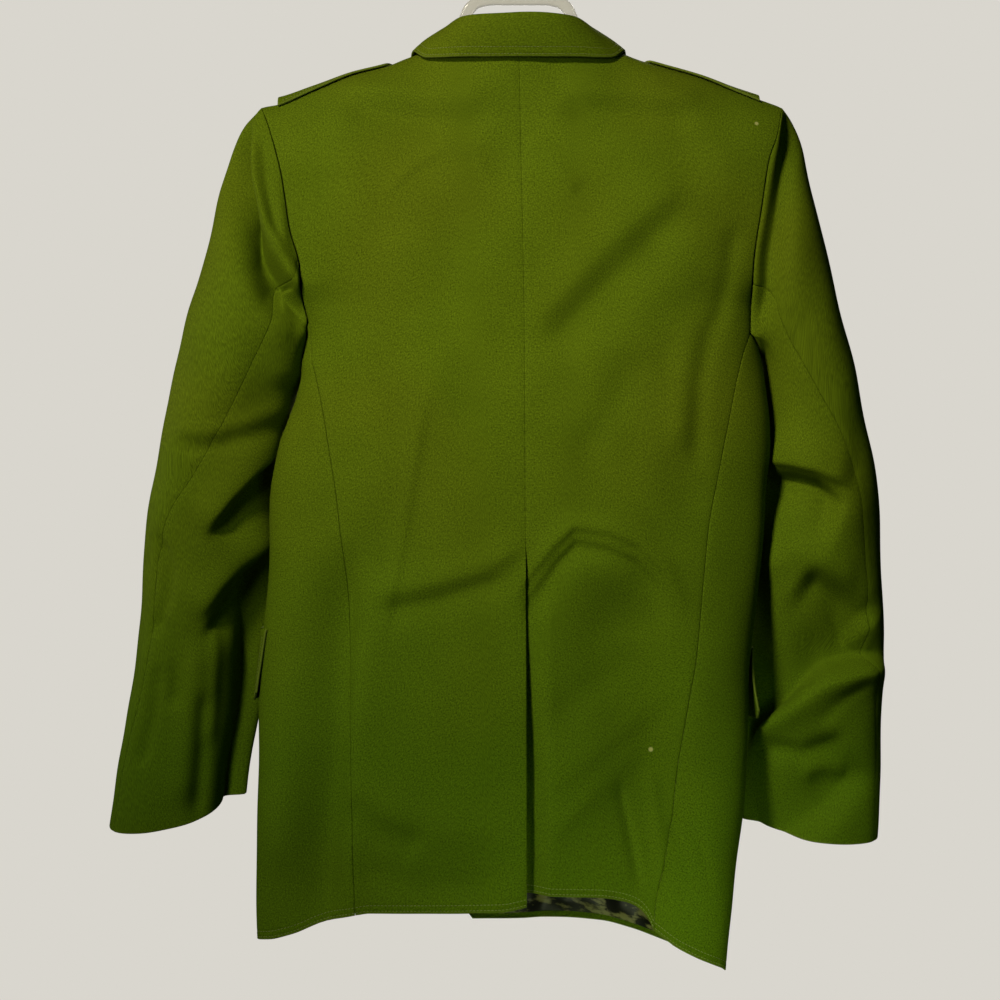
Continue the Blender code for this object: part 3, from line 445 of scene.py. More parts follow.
def torso_surface(angle, down, sink=0.0):
    """Points of the cloth's outer side with its folds, and their normals; sink moves them inwards."""

    def folded(angle, down):
        points, normals = torso_point(angle, down), torso_normal(angle, down)
        height = creased(points, normals, TORSO_CREASES)
        calm = smooth(np.asarray(down) / 60)
        return points + normals * (height + wavered(points) * calm)[..., None]

    turn, step = 0.6, 1.2
    across = folded(angle + turn, down) - folded(angle - turn, down)
    along = folded(angle, down + step) - folded(angle, np.maximum(down - step, 0))
    normals = unit(np.cross(along, across))
    return folded(angle, down) - normals * np.asarray(sink)[..., None], normals


def seam_run(seam, downs):
    """x and z of a seam at these distances down the cloth."""
    z = -150 - downs
    for _ in range(12):
        x = read(seam, "z", "x", z)
        z = crest_z(x) - drop_below_crest(downs, x)
    return x, z


def spaced(lengths, first, last, step=CLOTH_STEP):
    """Places along each length: close together by its two ends, where the cloth turns over."""
    lengths = np.atleast_1d(np.asarray(lengths, float))[:, None]
    count = max(int(round(lengths.max() / step)), 2)
    inside = first[-1] + (lengths - first[-1] - last[-1]) * np.linspace(0, 1, count + 1)
    begin = np.broadcast_to(first[:-1], (len(lengths), len(first) - 1))
    end = lengths - np.array(last[:-1])[::-1]
    return np.concatenate([begin, inside, end], -1)


def edge_downs(cut, share):
    """Distances down to a panel's top edge and to its hem, at this share of its width."""
    inner, outer = cut["inner"], cut["outer"]
    top_x = inner["x"][0] + (outer["x"][0] - inner["x"][0]) * share
    out = np.abs(top_x - NECK_MIDDLE)
    neck = down_at(top_x, read(NECKLINE, "out", "z", out))
    top = neck * smooth((NECK_SIDE - out) / NECK_BLEND) if cut["face"] < 0 else 0 * neck
    hem_x = inner["x"][-1] + (outer["x"][-1] - inner["x"][-1]) * share
    return top, down_at(hem_x, read(cut["hem"], "x", "z", hem_x))


def panel_place(cut, row, share):
    """Degrees round the body and distance down: row goes from top edge to hem, share outwards."""
    top, hem = edge_downs(cut, share)
    down = (1 - row) * top + row * hem
    sides = []
    for edge, seam in ((0.0, cut["inner"]), (1.0, cut["outer"])):
        edge_top, edge_hem = edge_downs(cut, np.array(edge))
        sides.append(seam_run(seam, (1 - row) * edge_top + row * edge_hem)[0])
    x = sides[0] + (sides[1] - sides[0]) * share
    z = crest_z(x) - drop_below_crest(down, x)
    return angle_at(x, z, cut["face"]), down


def panel_grid(cut, inner_steps, outer_steps, step=CLOTH_STEP):
    """A panel's grid of places, fine by its edges; outer_steps lie along the seam it is sewn at."""
    length = float(np.diff([float(value) for value in edge_downs(cut, np.array(0.6))])[0])
    row = spaced(length, SEAM_EDGE, STITCHED_EDGE, step)[0] / length
    inner = seam_run(cut["inner"], row * length)[0]
    outer = seam_run(cut["outer"], row * length)[0]
    width = np.abs(outer - inner)
    share = spaced(width, inner_steps, outer_steps, step) / width[:, None]
    return panel_place(cut, row[:, None] + 0 * share, share)


def edge_distances(points):
    """How far each point of a grid lies from its left, right, top and bottom edges, along the cloth."""
    across = np.cumsum(np.linalg.norm(np.diff(points, axis=1), axis=-1), axis=1)
    along = np.cumsum(np.linalg.norm(np.diff(points, axis=0), axis=-1), axis=0)
    left = np.pad(across, ((0, 0), (1, 0)))
    top = np.pad(along, ((1, 0), (0, 0)))
    return {"left": left, "right": left[:, -1:] - left, "top": top, "bottom": top[-1:] - top}


def rounded(away, reach, depth):
    """How far a rolled edge has turned in, at this distance from it."""
    return depth * (1 - np.sqrt(np.maximum(1 - (1 - np.minimum(away / reach, 1)) ** 2, 0)))


def cloth_wall(name, points, normals, material, wall=WALL, seams=(), stitched=()):
    """A closed thin shell on a grid, with rolled edges, and dips at its seams and under its stitches."""
    rows, columns = points.shape[:2]
    distances = edge_distances(points)
    roll, under = np.zeros((rows, columns)), np.zeros((rows, columns))
    for side, away in distances.items():
        radius = SEAM_ROLL if side in seams else wall / 2
        roll = np.maximum(roll, rounded(away, radius, radius))
        under = np.maximum(under, rounded(away, wall / 2, wall - radius))
    dip = np.zeros((rows, columns))
    for side in seams:
        dip += SEAM_DIP * np.exp(-((distances[side] / 2.6) ** 2))
    for side, places in stitched:
        for place in places:
            dip += STITCH_DIP * np.exp(-(((distances[side] - place) / 0.9) ** 2))
    outer = points - normals * (roll + dip)[..., None]
    inner = points - normals * (wall - under + 0.6 * dip)[..., None]
    rim = np.ones((rows, columns), bool)
    rim[1:-1, 1:-1] = False
    inner[rim] = outer[rim]
    front = np.arange(rows * columns).reshape(rows, columns)
    back = front.copy()
    back[~rim] = rows * columns + np.arange((~rim).sum())
    vertices = np.concatenate([outer.reshape(-1, 3), inner[~rim]])
    quads = np.stack([front[:-1, :-1], front[1:, :-1], front[1:, 1:], front[:-1, 1:]], -1).reshape(-1, 4)
    under = np.stack([back[:-1, :-1], back[:-1, 1:], back[1:, 1:], back[1:, :-1]], -1).reshape(-1, 4)
    middle = outer[rows // 2 : rows // 2 + 2, columns // 2 : columns // 2 + 2]
    facing = np.cross(middle[1, 0] - middle[0, 0], middle[1, 1] - middle[0, 0])
    if facing @ normals[rows // 2, columns // 2] < 0:
        quads, under = quads[:, ::-1], under[:, ::-1]
    faces = np.concatenate([quads, under])
    mesh = bpy.data.meshes.new(name)
    mesh.from_pydata((vertices * MM).tolist(), [], faces.tolist())
    flat = np.stack([distances["left"], -distances["top"]], -1) * MM
    flat = np.concatenate([flat.reshape(-1, 2), flat[~rim]])
    layer = mesh.uv_layers.new(name="cut")
    layer.data.foreach_set("uv", flat[faces.reshape(-1)].astype(np.float32).ravel())
    # How near each point lies to a free edge, where the wool is mixed a little paler.
    free = [distances[side] for side in distances if side not in seams]
    pale_edge = np.exp(-((np.minimum.reduce(free + [distances["top"] + wall * 9]) / 1.1) ** 2))
    pale_edge = np.concatenate([pale_edge.reshape(-1), pale_edge[~rim]])
    mesh.attributes.new("pale_edge", "FLOAT", "POINT").data.foreach_set("value", pale_edge.astype(np.float32))
    mesh.materials.append(material)
    mesh.shade_smooth()
    mesh.update()
    return place_object(name, mesh)


def line_by_edge(points, normals, side, distance, trim=1.5):
    """A line on the cloth at this distance from one of its edges, with the normals along it."""
    if side in ("left", "right"):
        points, normals = points.swapaxes(0, 1), normals.swapaxes(0, 1)
    away = edge_distances(points)["top" if side in ("left", "top") else "bottom"]
    line, up = [], []
    for column in range(points.shape[1]):
        order = np.argsort(away[:, column])
        place = away[order, column]
        line.append([np.interp(distance, place, points[order, column, k]) for k in range(3)])
        up.append([np.interp(distance, place, normals[order, column, k]) for k in range(3)])
    line, up = np.array(line), unit(np.array(up))
    run = np.pad(np.cumsum(np.linalg.norm(np.diff(line, axis=0), axis=-1)), (1, 0))
    kept = (run > trim) & (run < run[-1] - trim)
    return line[kept], up[kept]


def lockstitch_tree():
    """Geometry nodes that lay short rounded stitches along every edge line of a mesh."""
    tree = bpy.data.node_groups.new("lockstitch", "GeometryNodeTree")
    sizes = (("Pitch", 0.003), ("Length", 0.0024), ("Width", 0.0006), ("Height", 0.0004))
    tree.interface.new_socket("Line", in_out="INPUT", socket_type="NodeSocketGeometry")
    for name, value in sizes:
        socket = tree.interface.new_socket(name, in_out="INPUT", socket_type="NodeSocketFloat")
        socket.default_value = value
    tree.interface.new_socket("Thread", in_out="INPUT", socket_type="NodeSocketMaterial")
    tree.interface.new_socket("Seed", in_out="INPUT", socket_type="NodeSocketInt")
    tree.interface.new_socket("Stitches", in_out="OUTPUT", socket_type="NodeSocketGeometry")
    given = add_node(tree, "NodeGroupInput").outputs
    line = add_node(tree, "GeometryNodeMeshToCurve", {"Mesh": given["Line"]})
    points = add_node(
        tree, "GeometryNodeResampleCurve", {"Curve": line.outputs[0], "Length": given["Pitch"]}, mode="LENGTH"
    )
    bead = add_node(tree, "GeometryNodeMeshUVSphere", {"Segments": 6, "Rings": 4, "Radius": 0.5})
    size = add_node(
        tree, "ShaderNodeCombineXYZ", {"X": given["Length"], "Y": given["Width"], "Z": given["Height"]}
    )
    stitch = add_node(
        tree, "GeometryNodeTransform", {"Geometry": bead.outputs["Mesh"], "Scale": size.outputs[0]}
    )
    tangent = add_node(tree, "GeometryNodeInputTangent")
    up = add_node(tree, "GeometryNodeInputNamedAttribute", {"Name": "up"}, data_type="FLOAT_VECTOR")
    along = add_node(tree, "FunctionNodeAlignRotationToVector", {"Vector": tangent.outputs[0]}, axis="X")
    turned = add_node(
        tree,
        "FunctionNodeAlignRotationToVector",
        {"Rotation": along.outputs[0], "Vector": up.outputs[0]},
        axis="Z",
        pivot_axis="X",
    )
    lean = add_node(
        tree,
        "FunctionNodeRandomValue",
        {"Min": (-0.03, -0.02, -0.07), "Max": (0.03, 0.02, 0.07), "Seed": given["Seed"]},
        data_type="FLOAT_VECTOR",
    )
    leaned = add_node(
        tree, "FunctionNodeRotateRotation", {"Rotation": turned.outputs[0]}, rotation_space="LOCAL"
    )
    tree.links.new(lean.outputs[0], leaned.inputs["Rotate By"])
    laid = add_node(
        tree,
        "GeometryNodeInstanceOnPoints",
        {"Points": points.outputs[0], "Instance": stitch.outputs[0], "Rotation": leaned.outputs[0]},
    )
    real = add_node(tree, "GeometryNodeRealizeInstances", {"Geometry": laid.outputs[0]})
    smoothed = add_node(tree, "GeometryNodeSetShadeSmooth", {"Geometry": real.outputs[0]})
    dyed = add_node(
        tree, "GeometryNodeSetMaterial", {"Geometry": smoothed.outputs[0], "Material": given["Thread"]}
    )
    end = add_node(tree, "NodeGroupOutput")
    tree.links.new(dyed.outputs[0], end.inputs["Stitches"])
    return tree


def sew(name, lines, thread, pitch=3.0, lift=0.12):
    """Stitches of real size along lines on the cloth, as one mesh."""
    points, ups, edges = [], [], []
    for line, up in lines:
        start = sum(len(done) for done in points)
        points.append(line + up * (lift - STITCH_DIP))
        ups.append(up)
        edges += [(start + i, start + i + 1) for i in range(len(line) - 1)]
    mesh = bpy.data.meshes.new(name + "_lines")
    mesh.from_pydata((np.concatenate(points) * MM).tolist(), edges, [])
    attribute = mesh.attributes.new("up", "FLOAT_VECTOR", "POINT")
    attribute.data.foreach_set("vector", np.concatenate(ups).astype(np.float32).ravel())
    guide = place_object(name + "_lines", mesh)
    laid = guide.modifiers.new("lockstitch", "NODES")
    laid.node_group = LOCKSTITCH
    items = LOCKSTITCH.interface.items_tree
    sockets = {item.name: item.identifier for item in items if item.in_out == "INPUT"}
    laid[sockets["Pitch"]] = pitch * MM
    laid[sockets["Length"]] = pitch * 0.82 * MM
    laid[sockets["Thread"]] = thread
    laid[sockets["Seed"]] = len(name)
    graph = bpy.context.evaluated_depsgraph_get()
    made = place_object(name, bpy.data.meshes.new_from_object(guide.evaluated_get(graph)))
    bpy.data.objects.remove(guide)
    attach(made, "root")
    return made


def hang(piece, node):
    """A finished sheet: it rides on the jacket's one body and stands for its solid."""
    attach(piece, "root")
    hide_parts(node)


def mapped(tree, value, low, high, to_low, to_high):
    """A value carried from one range to another, and kept within it."""
    ends = {1: low, 2: high, 3: to_low, 4: to_high}
    return add_node(tree, "ShaderNodeMapRange", {0: value, **ends}).outputs[0]


def mixed(tree, share, first, second):
    """The first colour with this share of the second."""
    return add_node(tree, "ShaderNodeMix", {0: share, 6: first, 7: second}, data_type="RGBA").outputs[2]


def scaled(tree, colour, factor):
    """A colour made lighter or darker by a factor."""
    return add_node(tree, "ShaderNodeVectorMath", {0: colour, "Scale": factor}, operation="SCALE").outputs[0]


def noise(tree, place, scale, detail, roughness=0.5):
    inputs = {"Vector": place, "Scale": scale, "Detail": detail, "Roughness": roughness}
    return add_node(tree, "ShaderNodeTexNoise", inputs).outputs[0]


def raise_by(tree, shader, height, strength, distance):
    """Bump on the shader, from a height."""
    bump = add_node(tree, "ShaderNodeBump", {"Height": height, "Strength": strength, "Distance": distance})
    tree.links.new(bump.outputs[0], shader.inputs["Normal"])


# Pale flecks of lint on the right back: x, z and radius.
FLECKS = ((201.6, -190.5, 2.1), (115.5, -714.4, 2.4))


def wool_serge(name, tone, shade, pale_edge_tone):
    """Olive wool serge, woven and lightly milled: a matt, slightly fuzzy face with fine twill lines that
    catch little light, uneven dye with painted shade darker and greener towards the hem, and paler edges."""
    material, tree, shader = new_material(name)
    # A serge has about 1 mm between its twill lines; here it is 1.7 mm, as coarse as it needs to show.
    # A wave texture of scale 1 repeats every 0.314 of its space.
    twill_pitch, wave_repeat, fibre, mottle, drift = 0.0017, 0.314, 0.0014, 0.045, 0.16
    cut = add_node(tree, "ShaderNodeUVMap", uv_map="cut").outputs[0]
    place = add_node(tree, "ShaderNodeTexCoord").outputs["Object"]
    leaning = add_node(tree, "ShaderNodeMapping", {"Vector": cut, "Rotation": (0, 0, np.radians(27))})
    rough_lines = {"Distortion": 0.6, "Detail": 2.0, "Detail Scale": 0.5, "Detail Roughness": 0.6}
    waves = {"Vector": leaning.outputs[0], "Scale": wave_repeat / twill_pitch, **rough_lines}
    twill = add_node(tree, "ShaderNodeTexWave", waves).outputs[1]
    speckle = noise(tree, cut, 1 / fibre, 3.0, 0.7)
    patches = noise(tree, place, 1 / mottle, 3.0, 0.55)
    broad = noise(tree, place, 1 / drift, 1.0)
    dye = mixed(tree, patches, hex_colour(shade), hex_colour(tone))
    warmed = mixed(tree, mapped(tree, broad, 0.4, 0.62, 0.0, 0.25), dye, hex_colour("605f0c"))
    # Painted shade: the dye is mixed darker and greener towards the hem, as the cloth looks in shade there.
    height = add_node(tree, "ShaderNodeSeparateXYZ", {0: place}).outputs[2]
    dye_and_painted_hem_shade = mixed(tree, mapped(tree, height, -0.42, -0.72, 0.0, 0.6), warmed, hex_colour("446808"))
    grain = mapped(tree, speckle, 0.3, 0.7, 0.42, 1.64)
    lines = mapped(tree, twill, 0.0, 1.0, 0.98, 1.02)
    shaded = add_node(tree, "ShaderNodeMath", {0: grain, 1: lines}, operation="MULTIPLY").outputs[0]
    cloth = scaled(tree, dye_and_painted_hem_shade, shaded)
    # Free edges are mixed a little paler.
    pale_edge = add_node(tree, "ShaderNodeAttribute", attribute_name="pale_edge").outputs["Fac"]
    pale_edge_share = add_node(tree, "ShaderNodeMath", {0: pale_edge, 1: 0.4}, operation="MULTIPLY").outputs[0]
    surface = mixed(tree, pale_edge_share, cloth, hex_colour(pale_edge_tone))
    for x, z, radius in FLECKS:
        spot = torso_surface(angle_at(np.array([x]), z, -1), down_at(np.array([x]), z))[0][0] * MM
        away = add_node(tree, "ShaderNodeVectorMath", {0: place, 1: spot}, operation="DISTANCE")
        fleck = mapped(tree, away.outputs["Value"], radius * MM, radius * MM * 0.5, 0.0, 0.9)
        surface = mixed(tree, fleck, surface, hex_colour("b9b96e"))
    tree.links.new(surface, shader.inputs["Base Color"])
    relief = add_node(tree, "ShaderNodeMath", {0: twill, 1: 0.15, 2: speckle}, operation="MULTIPLY_ADD")
    raise_by(tree, shader, relief.outputs[0], 0.32, 0.0005)
    set_shader(
        shader,
        {"Roughness": 0.86, "Specular IOR Level": 0.06, "Sheen Weight": 0.08, "Sheen Roughness": 0.45,
         "Sheen Tint": hex_colour("8f9a20")},
    )
    return material


def cotton_thread(name, code):
    """Twisted cotton-wrapped thread dyed to match the cloth: a little paler and shinier than the wool."""
    material, tree, shader = new_material(name)
    place = add_node(tree, "ShaderNodeTexCoord").outputs["Object"]
    tone = mapped(tree, noise(tree, place, 1500.0, 2.0), 0.3, 0.7, 0.82, 1.15)
    tree.links.new(scaled(tree, hex_colour(code)[:3], tone), shader.inputs["Base Color"])
    set_shader(shader, {"Roughness": 0.6})
    return material


LOCKSTITCH = lockstitch_tree()
WOOL = wool_serge("olive_wool_serge", "62750f", "526408", "7f8a3c")
THREAD = cotton_thread("olive_thread", "7a8340")

CUTS = {
    ("back", "left"): dict(inner=CENTRE_SEAM, outer=BACK_LEFT_OUT, hem=HEM_BACK_LEFT, face=-1),
    ("back", "right"): dict(inner=UNDERLAP_EDGE, outer=BACK_RIGHT_OUT, hem=HEM_BACK_RIGHT, face=-1),
}


def overlap_sink(x, edge_x, depth, fade):
    """How far the lower of two lapped panels is sunk, beyond the upper one's edge."""
    return depth * smooth((edge_x + fade - x) / fade)


def vent_sink(angle, down):
    """The right back sinks under the left back's edge, below the vent's top."""
    points = torso_point(angle, down)
    x, z = points[..., 0], points[..., 2]
    depth = VENT_SINK * smooth((VENT_TOP + VENT_SINKS - z) / VENT_SINK_RUN)
    depth += VENT_SAG * smooth((VENT_TOP + VENT_GAPES - z) / VENT_GAPE_RUN)
    return overlap_sink(x, read(CENTRE_SEAM, "z", "x", z), depth, VENT_BLEND)


def parted(points, first=SEAM_GAP / 2):
    """The grid with its first and last columns and its top row drawn back from the seams."""
    points = points.copy()
    points[:, :1] += unit(points[:, 4:5] - points[:, :1]) * first
    points[:, -1:] += unit(points[:, -5:-4] - points[:, -1:]) * SEAM_GAP / 2
    points[:1] += unit(points[4:5] - points[:1]) * SEAM_GAP / 2
    return points


def hang_panel(kind, side, points, normals, seams, more_lines=()):
    """A panel of the jacket's body, with two rows of topstitching along its hem."""
    lines = [line_by_edge(points, normals, "bottom", place) for place in HEM_ROWS]
    stitches = sew(f"hem_stitches_{kind}_{side}", [*lines, *more_lines], THREAD)
    stitched = [("bottom", HEM_ROWS)]
    panel = cloth_wall(f"{kind}_panel_{side}", points, normals, WOOL, seams=seams, stitched=stitched)
    hang(panel, f"{kind}_{side}")


for side in ("left", "right"):
    grid = panel_grid(CUTS["back", side], SEAM_EDGE, SEAM_EDGE, FINE_STEP)
    points, normals = torso_surface(*grid, vent_sink(*grid) if side == "right" else 0.0)
    hang_panel("back", side, parted(points, 0.0), normals, ("left", "right", "top"))

# ---------------------------------------------------------------- front panels
# Two panels from the shoulder seams to the hem; the left one buttons over the right one. Only the inside
# of the right one shows in the photograph, below the vent, so the rest is plain and cut as usual.
LEFT_EDGE, RIGHT_EDGE, LAPEL_FOOT = 8.0, -43.0, -405.0
CLOSING_SINK = 3.6
FRONT_LEFT_OUT = table(
    "z x",
    (-172.6, -214.6),
    (-196, -201),
    (-240, -184),
    (-282, -174),
    (-318, -170),
    (-352, -170.5),
    (-400, -171),
    (-457, -184),
    (-560, -194),
    (-680, -199),
    (-800, -203),
    (-872, -205),
)
FRONT_RIGHT_OUT = table(
    "z x",
    (-172, 226.2),
    (-198, 212),
    (-242, 197),
    (-282, 189),
    (-318, 190),
    (-352, 196),
    (-400, 198),
    (-457, 200),
    (-560, 193),
    (-680, 186),
    (-800, 178),
    (-902, 168),
)
FRONT_LEFT_IN = table(
    "z x",
    (-124, NECK_MIDDLE - NECK_SIDE),
    (-134, -74),
    (-152, -68),
    (-172, -60),
    (-290, -27),
    (-400, 3),
    (-430, LEFT_EDGE),
    (-800, LEFT_EDGE),
    (-830, 4),
    (-848, -6),
    (-862, -24),
)
FRONT_RIGHT_IN = table(
    "z x",
    (-124, NECK_MIDDLE + NECK_SIDE),
    (-134, 80),
    (-152, 74),
    (-172, 66),
    (-290, 14),
    (-400, -34),
    (-430, RIGHT_EDGE),
    (-850, RIGHT_EDGE),
    (-864, -41.5),
    (-871, -37),
)
HEM_FRONT_LEFT = table("x z", (-205, -872), (-150, -866.5), (-100, -864.5), (-24, -862))
HEM_FRONT_RIGHT = table(
    "x z", (-37, -871), (40, -870.5), (75, -872.5), (101, -878.5), (127, -887), (168, -901)
)
CUTS["front", "left"] = dict(inner=FRONT_LEFT_IN, outer=FRONT_LEFT_OUT, hem=HEM_FRONT_LEFT, face=1)
CUTS["front", "right"] = dict(inner=FRONT_RIGHT_IN, outer=FRONT_RIGHT_OUT, hem=HEM_FRONT_RIGHT, face=1)


def closing_sink(angle, down):
    """The right front sinks under the left front's edge, below the lapels."""
    points = torso_point(angle, down)
    x, z = points[..., 0], points[..., 2]
    depth = CLOSING_SINK * smooth((-290 - z) / 30)
    return overlap_sink(x, read(FRONT_LEFT_IN, "z", "x", np.maximum(z, -700)), depth, 18)


for side in ("left", "right"):
    grid = panel_grid(CUTS["front", side], STITCHED_EDGE, SEAM_EDGE)
    points, normals = torso_surface(*grid, closing_sink(*grid) if side == "right" else 0.0)
    points = parted(points)
    edge_line, edge_up = line_by_edge(points, normals, "left", HEM_ROWS[1])
    below = edge_line[:, 2] < LAPEL_FOOT
    hang_panel("front", side, points, normals, ("right", "top"), [(edge_line[below], edge_up[below])])

# ---------------------------------------------------------------- side panels
# A panel between the back and the front on each side, from under the arm to the hem, which gives the
# jacket its depth. It is of the same wool, and its hem is topstitched with the others.
HEM_SIDE_LEFT = table("share z", (0, -851.7), (0.1, -858), (0.22, -869), (0.36, -875), (0.6, -877), (1, -872))
HEM_SIDE_RIGHT = table("share z", (0, -866), (0.1, -881), (0.25, -893), (0.42, -900), (0.6, -904), (1, -901))


def edge_place(cut, row):
    """Degrees round the body and distance down along a panel's outer seam."""
    return panel_place(cut, row, np.ones_like(row))


def side_place(side, row, share):
    """The same for the side panel: row goes from its armhole to its hem, share from back to front."""
    ends = []
    for piece in ("back", "front"):
        corner = ARMHOLE_SHARE[piece]
        ends.append(edge_place(CUTS[piece, side], corner + (1 - corner) * row))
    (back_angle, back_down), (front_angle, front_down) = ends
    turn = (front_angle - back_angle + 180) % 360 - 180
    angle = back_angle + turn * share
    down = back_down + (front_down - back_down) * share
    hem = {"left": HEM_SIDE_LEFT, "right": HEM_SIDE_RIGHT}[side]
    flat_ends = [edge_place(CUTS[piece, side], np.ones_like(share)) for piece in ("back", "front")]
    hem_turn = (flat_ends[1][0] - flat_ends[0][0] + 180) % 360 - 180
    hem_angle = flat_ends[0][0] + hem_turn * share
    hem_down = flat_ends[0][1] + (flat_ends[1][1] - flat_ends[0][1]) * share
    hem_x = torso_point(hem_angle, hem_down)[..., 0]
    down = down + (down_at(hem_x, read(hem, "share", "z", share)) - hem_down) * row**2
    return angle, down + 12 * np.sin(np.pi * share) * (1 - row) ** 2


SIDE_LENGTH = 520.0
for side in ("left", "right"):
    row = spaced(SIDE_LENGTH, SEAM_EDGE, STITCHED_EDGE, FINE_STEP)[0] / SIDE_LENGTH
    ends = [torso_point(*side_place(side, row, np.full_like(row, share))) for share in np.linspace(0, 1, 9)]
    width = np.linalg.norm(np.diff(np.array(ends), axis=0), axis=-1).sum(axis=0)
    share = spaced(width, SEAM_EDGE, SEAM_EDGE) / width[:, None]
    points, normals = torso_surface(*side_place(side, row[:, None] + 0 * share, share))
    hang_panel("side", side, parted(points), normals, ("left", "right", "top"))

# ---------------------------------------------------------------- sleeves
# Two-piece sleeves, a topsleeve and a narrower undersleeve, eased into the armholes. They hang bent at
# the elbow, where the wool breaks into a few deep folds. The cuffs are plain turned hems.
ARMHOLE_COLUMNS, SIDE_COLUMNS = 10, 6
SEAM_BACK = {"left": 7.3, "right": 8.0}
SEAM_FRONT, AROUND = 18, 26
SLEEVE_LEFT = table(
    "outer_x outer_y outer_z inner_x inner_y inner_z back front tilt seam_back seam_front",
    (-220, 2, -174, -177, 2, -367, 40, 42, 0, 121, 232),
    (-233.7, 2, -188, -179, 2, -370, 44, 47, 0, 124, 232),
    (-241.5, 2, -207, -180, 3, -375, 47, 50, 0, 123, 232),
    (-251, 2, -241, -182, 5, -384, 50, 54, 0, 120, 232),
    (-261.5, 3, -292, -182.5, 9, -398, 52, 57, 0, 112.6, 232),
    (-276.2, 4, -343, -185.5, 16, -416, 52, 58, 0, 105.8, 232),
    (-289.5, 6, -394, -193, 23, -438, 51, 57, 0, 99.4, 232),
    (-300.2, 8, -437, -200.5, 27, -462, 50, 55, 0, 91, 232),
    (-307.6, 11, -479, -205, 30, -492, 49, 53, 0, 75, 232),
    (-313.4, 14, -522, -207, 34, -530, 47, 51, 0, 50, 231),
    (-317.5, 18, -565, -209, 37, -572, 45, 50, 0, 42, 230),
    (-324, 22, -617, -211, 40, -618, 43, 48, 0, 43, 229),
    (-331.7, 27, -678, -218, 42, -672, 39, 42, 0, 36, 228),
    (-341, 32, -730, -229, 43, -722, 34, 36, 5, 26, 227),
    (-350.8, 36, -787, -233, 44, -760, 29, 30, 12, 21, 226),
)
SLEEVE_RIGHT = table(
    "outer_x outer_y outer_z inner_x inner_y inner_z back front tilt seam_back seam_front",
    (230, 2, -176, 206, 2, -369, 40, 42, 0, 122, 232),
    (239, 2, -190, 208, 4, -373, 43, 47, 0, 121, 232),
    (246.6, 3, -207, 210, 7, -378, 46, 50, 0, 120, 232),
    (252.7, 4, -241, 212, 12, -387, 49, 54, 0, 119, 232),
    (264.9, 5, -292, 213, 18, -402, 50, 57, 0, 113.6, 232),
    (277.2, 7, -343, 213.5, 25, -424, 50, 58, 0, 99, 232),
    (288.7, 9, -394, 214, 30, -450, 49, 57, 0, 82, 232),
    (298.6, 12, -437, 213, 33, -477, 48, 55, 0, 65, 232),
    (307, 15, -479, 210, 35, -506, 47, 53, 0, 54, 232),
    (312.8, 19, -522, 206, 37, -542, 46, 51, 0, 48, 231),
    (315.2, 23, -565, 203, 39, -580, 44, 50, 0, 44, 230),
    (318.5, 27, -617, 201, 41, -624, 42, 48, 0, 40, 229),
    (316.6, 31, -678, 198, 43, -680, 38, 42, 0, 30, 228),
    (316.4, 34, -730, 197, 45, -732, 34, 36, 4, 24, 227),
    (313.6, 36, -796, 198, 46, -782, 29, 30, 9, 21, 226),
)
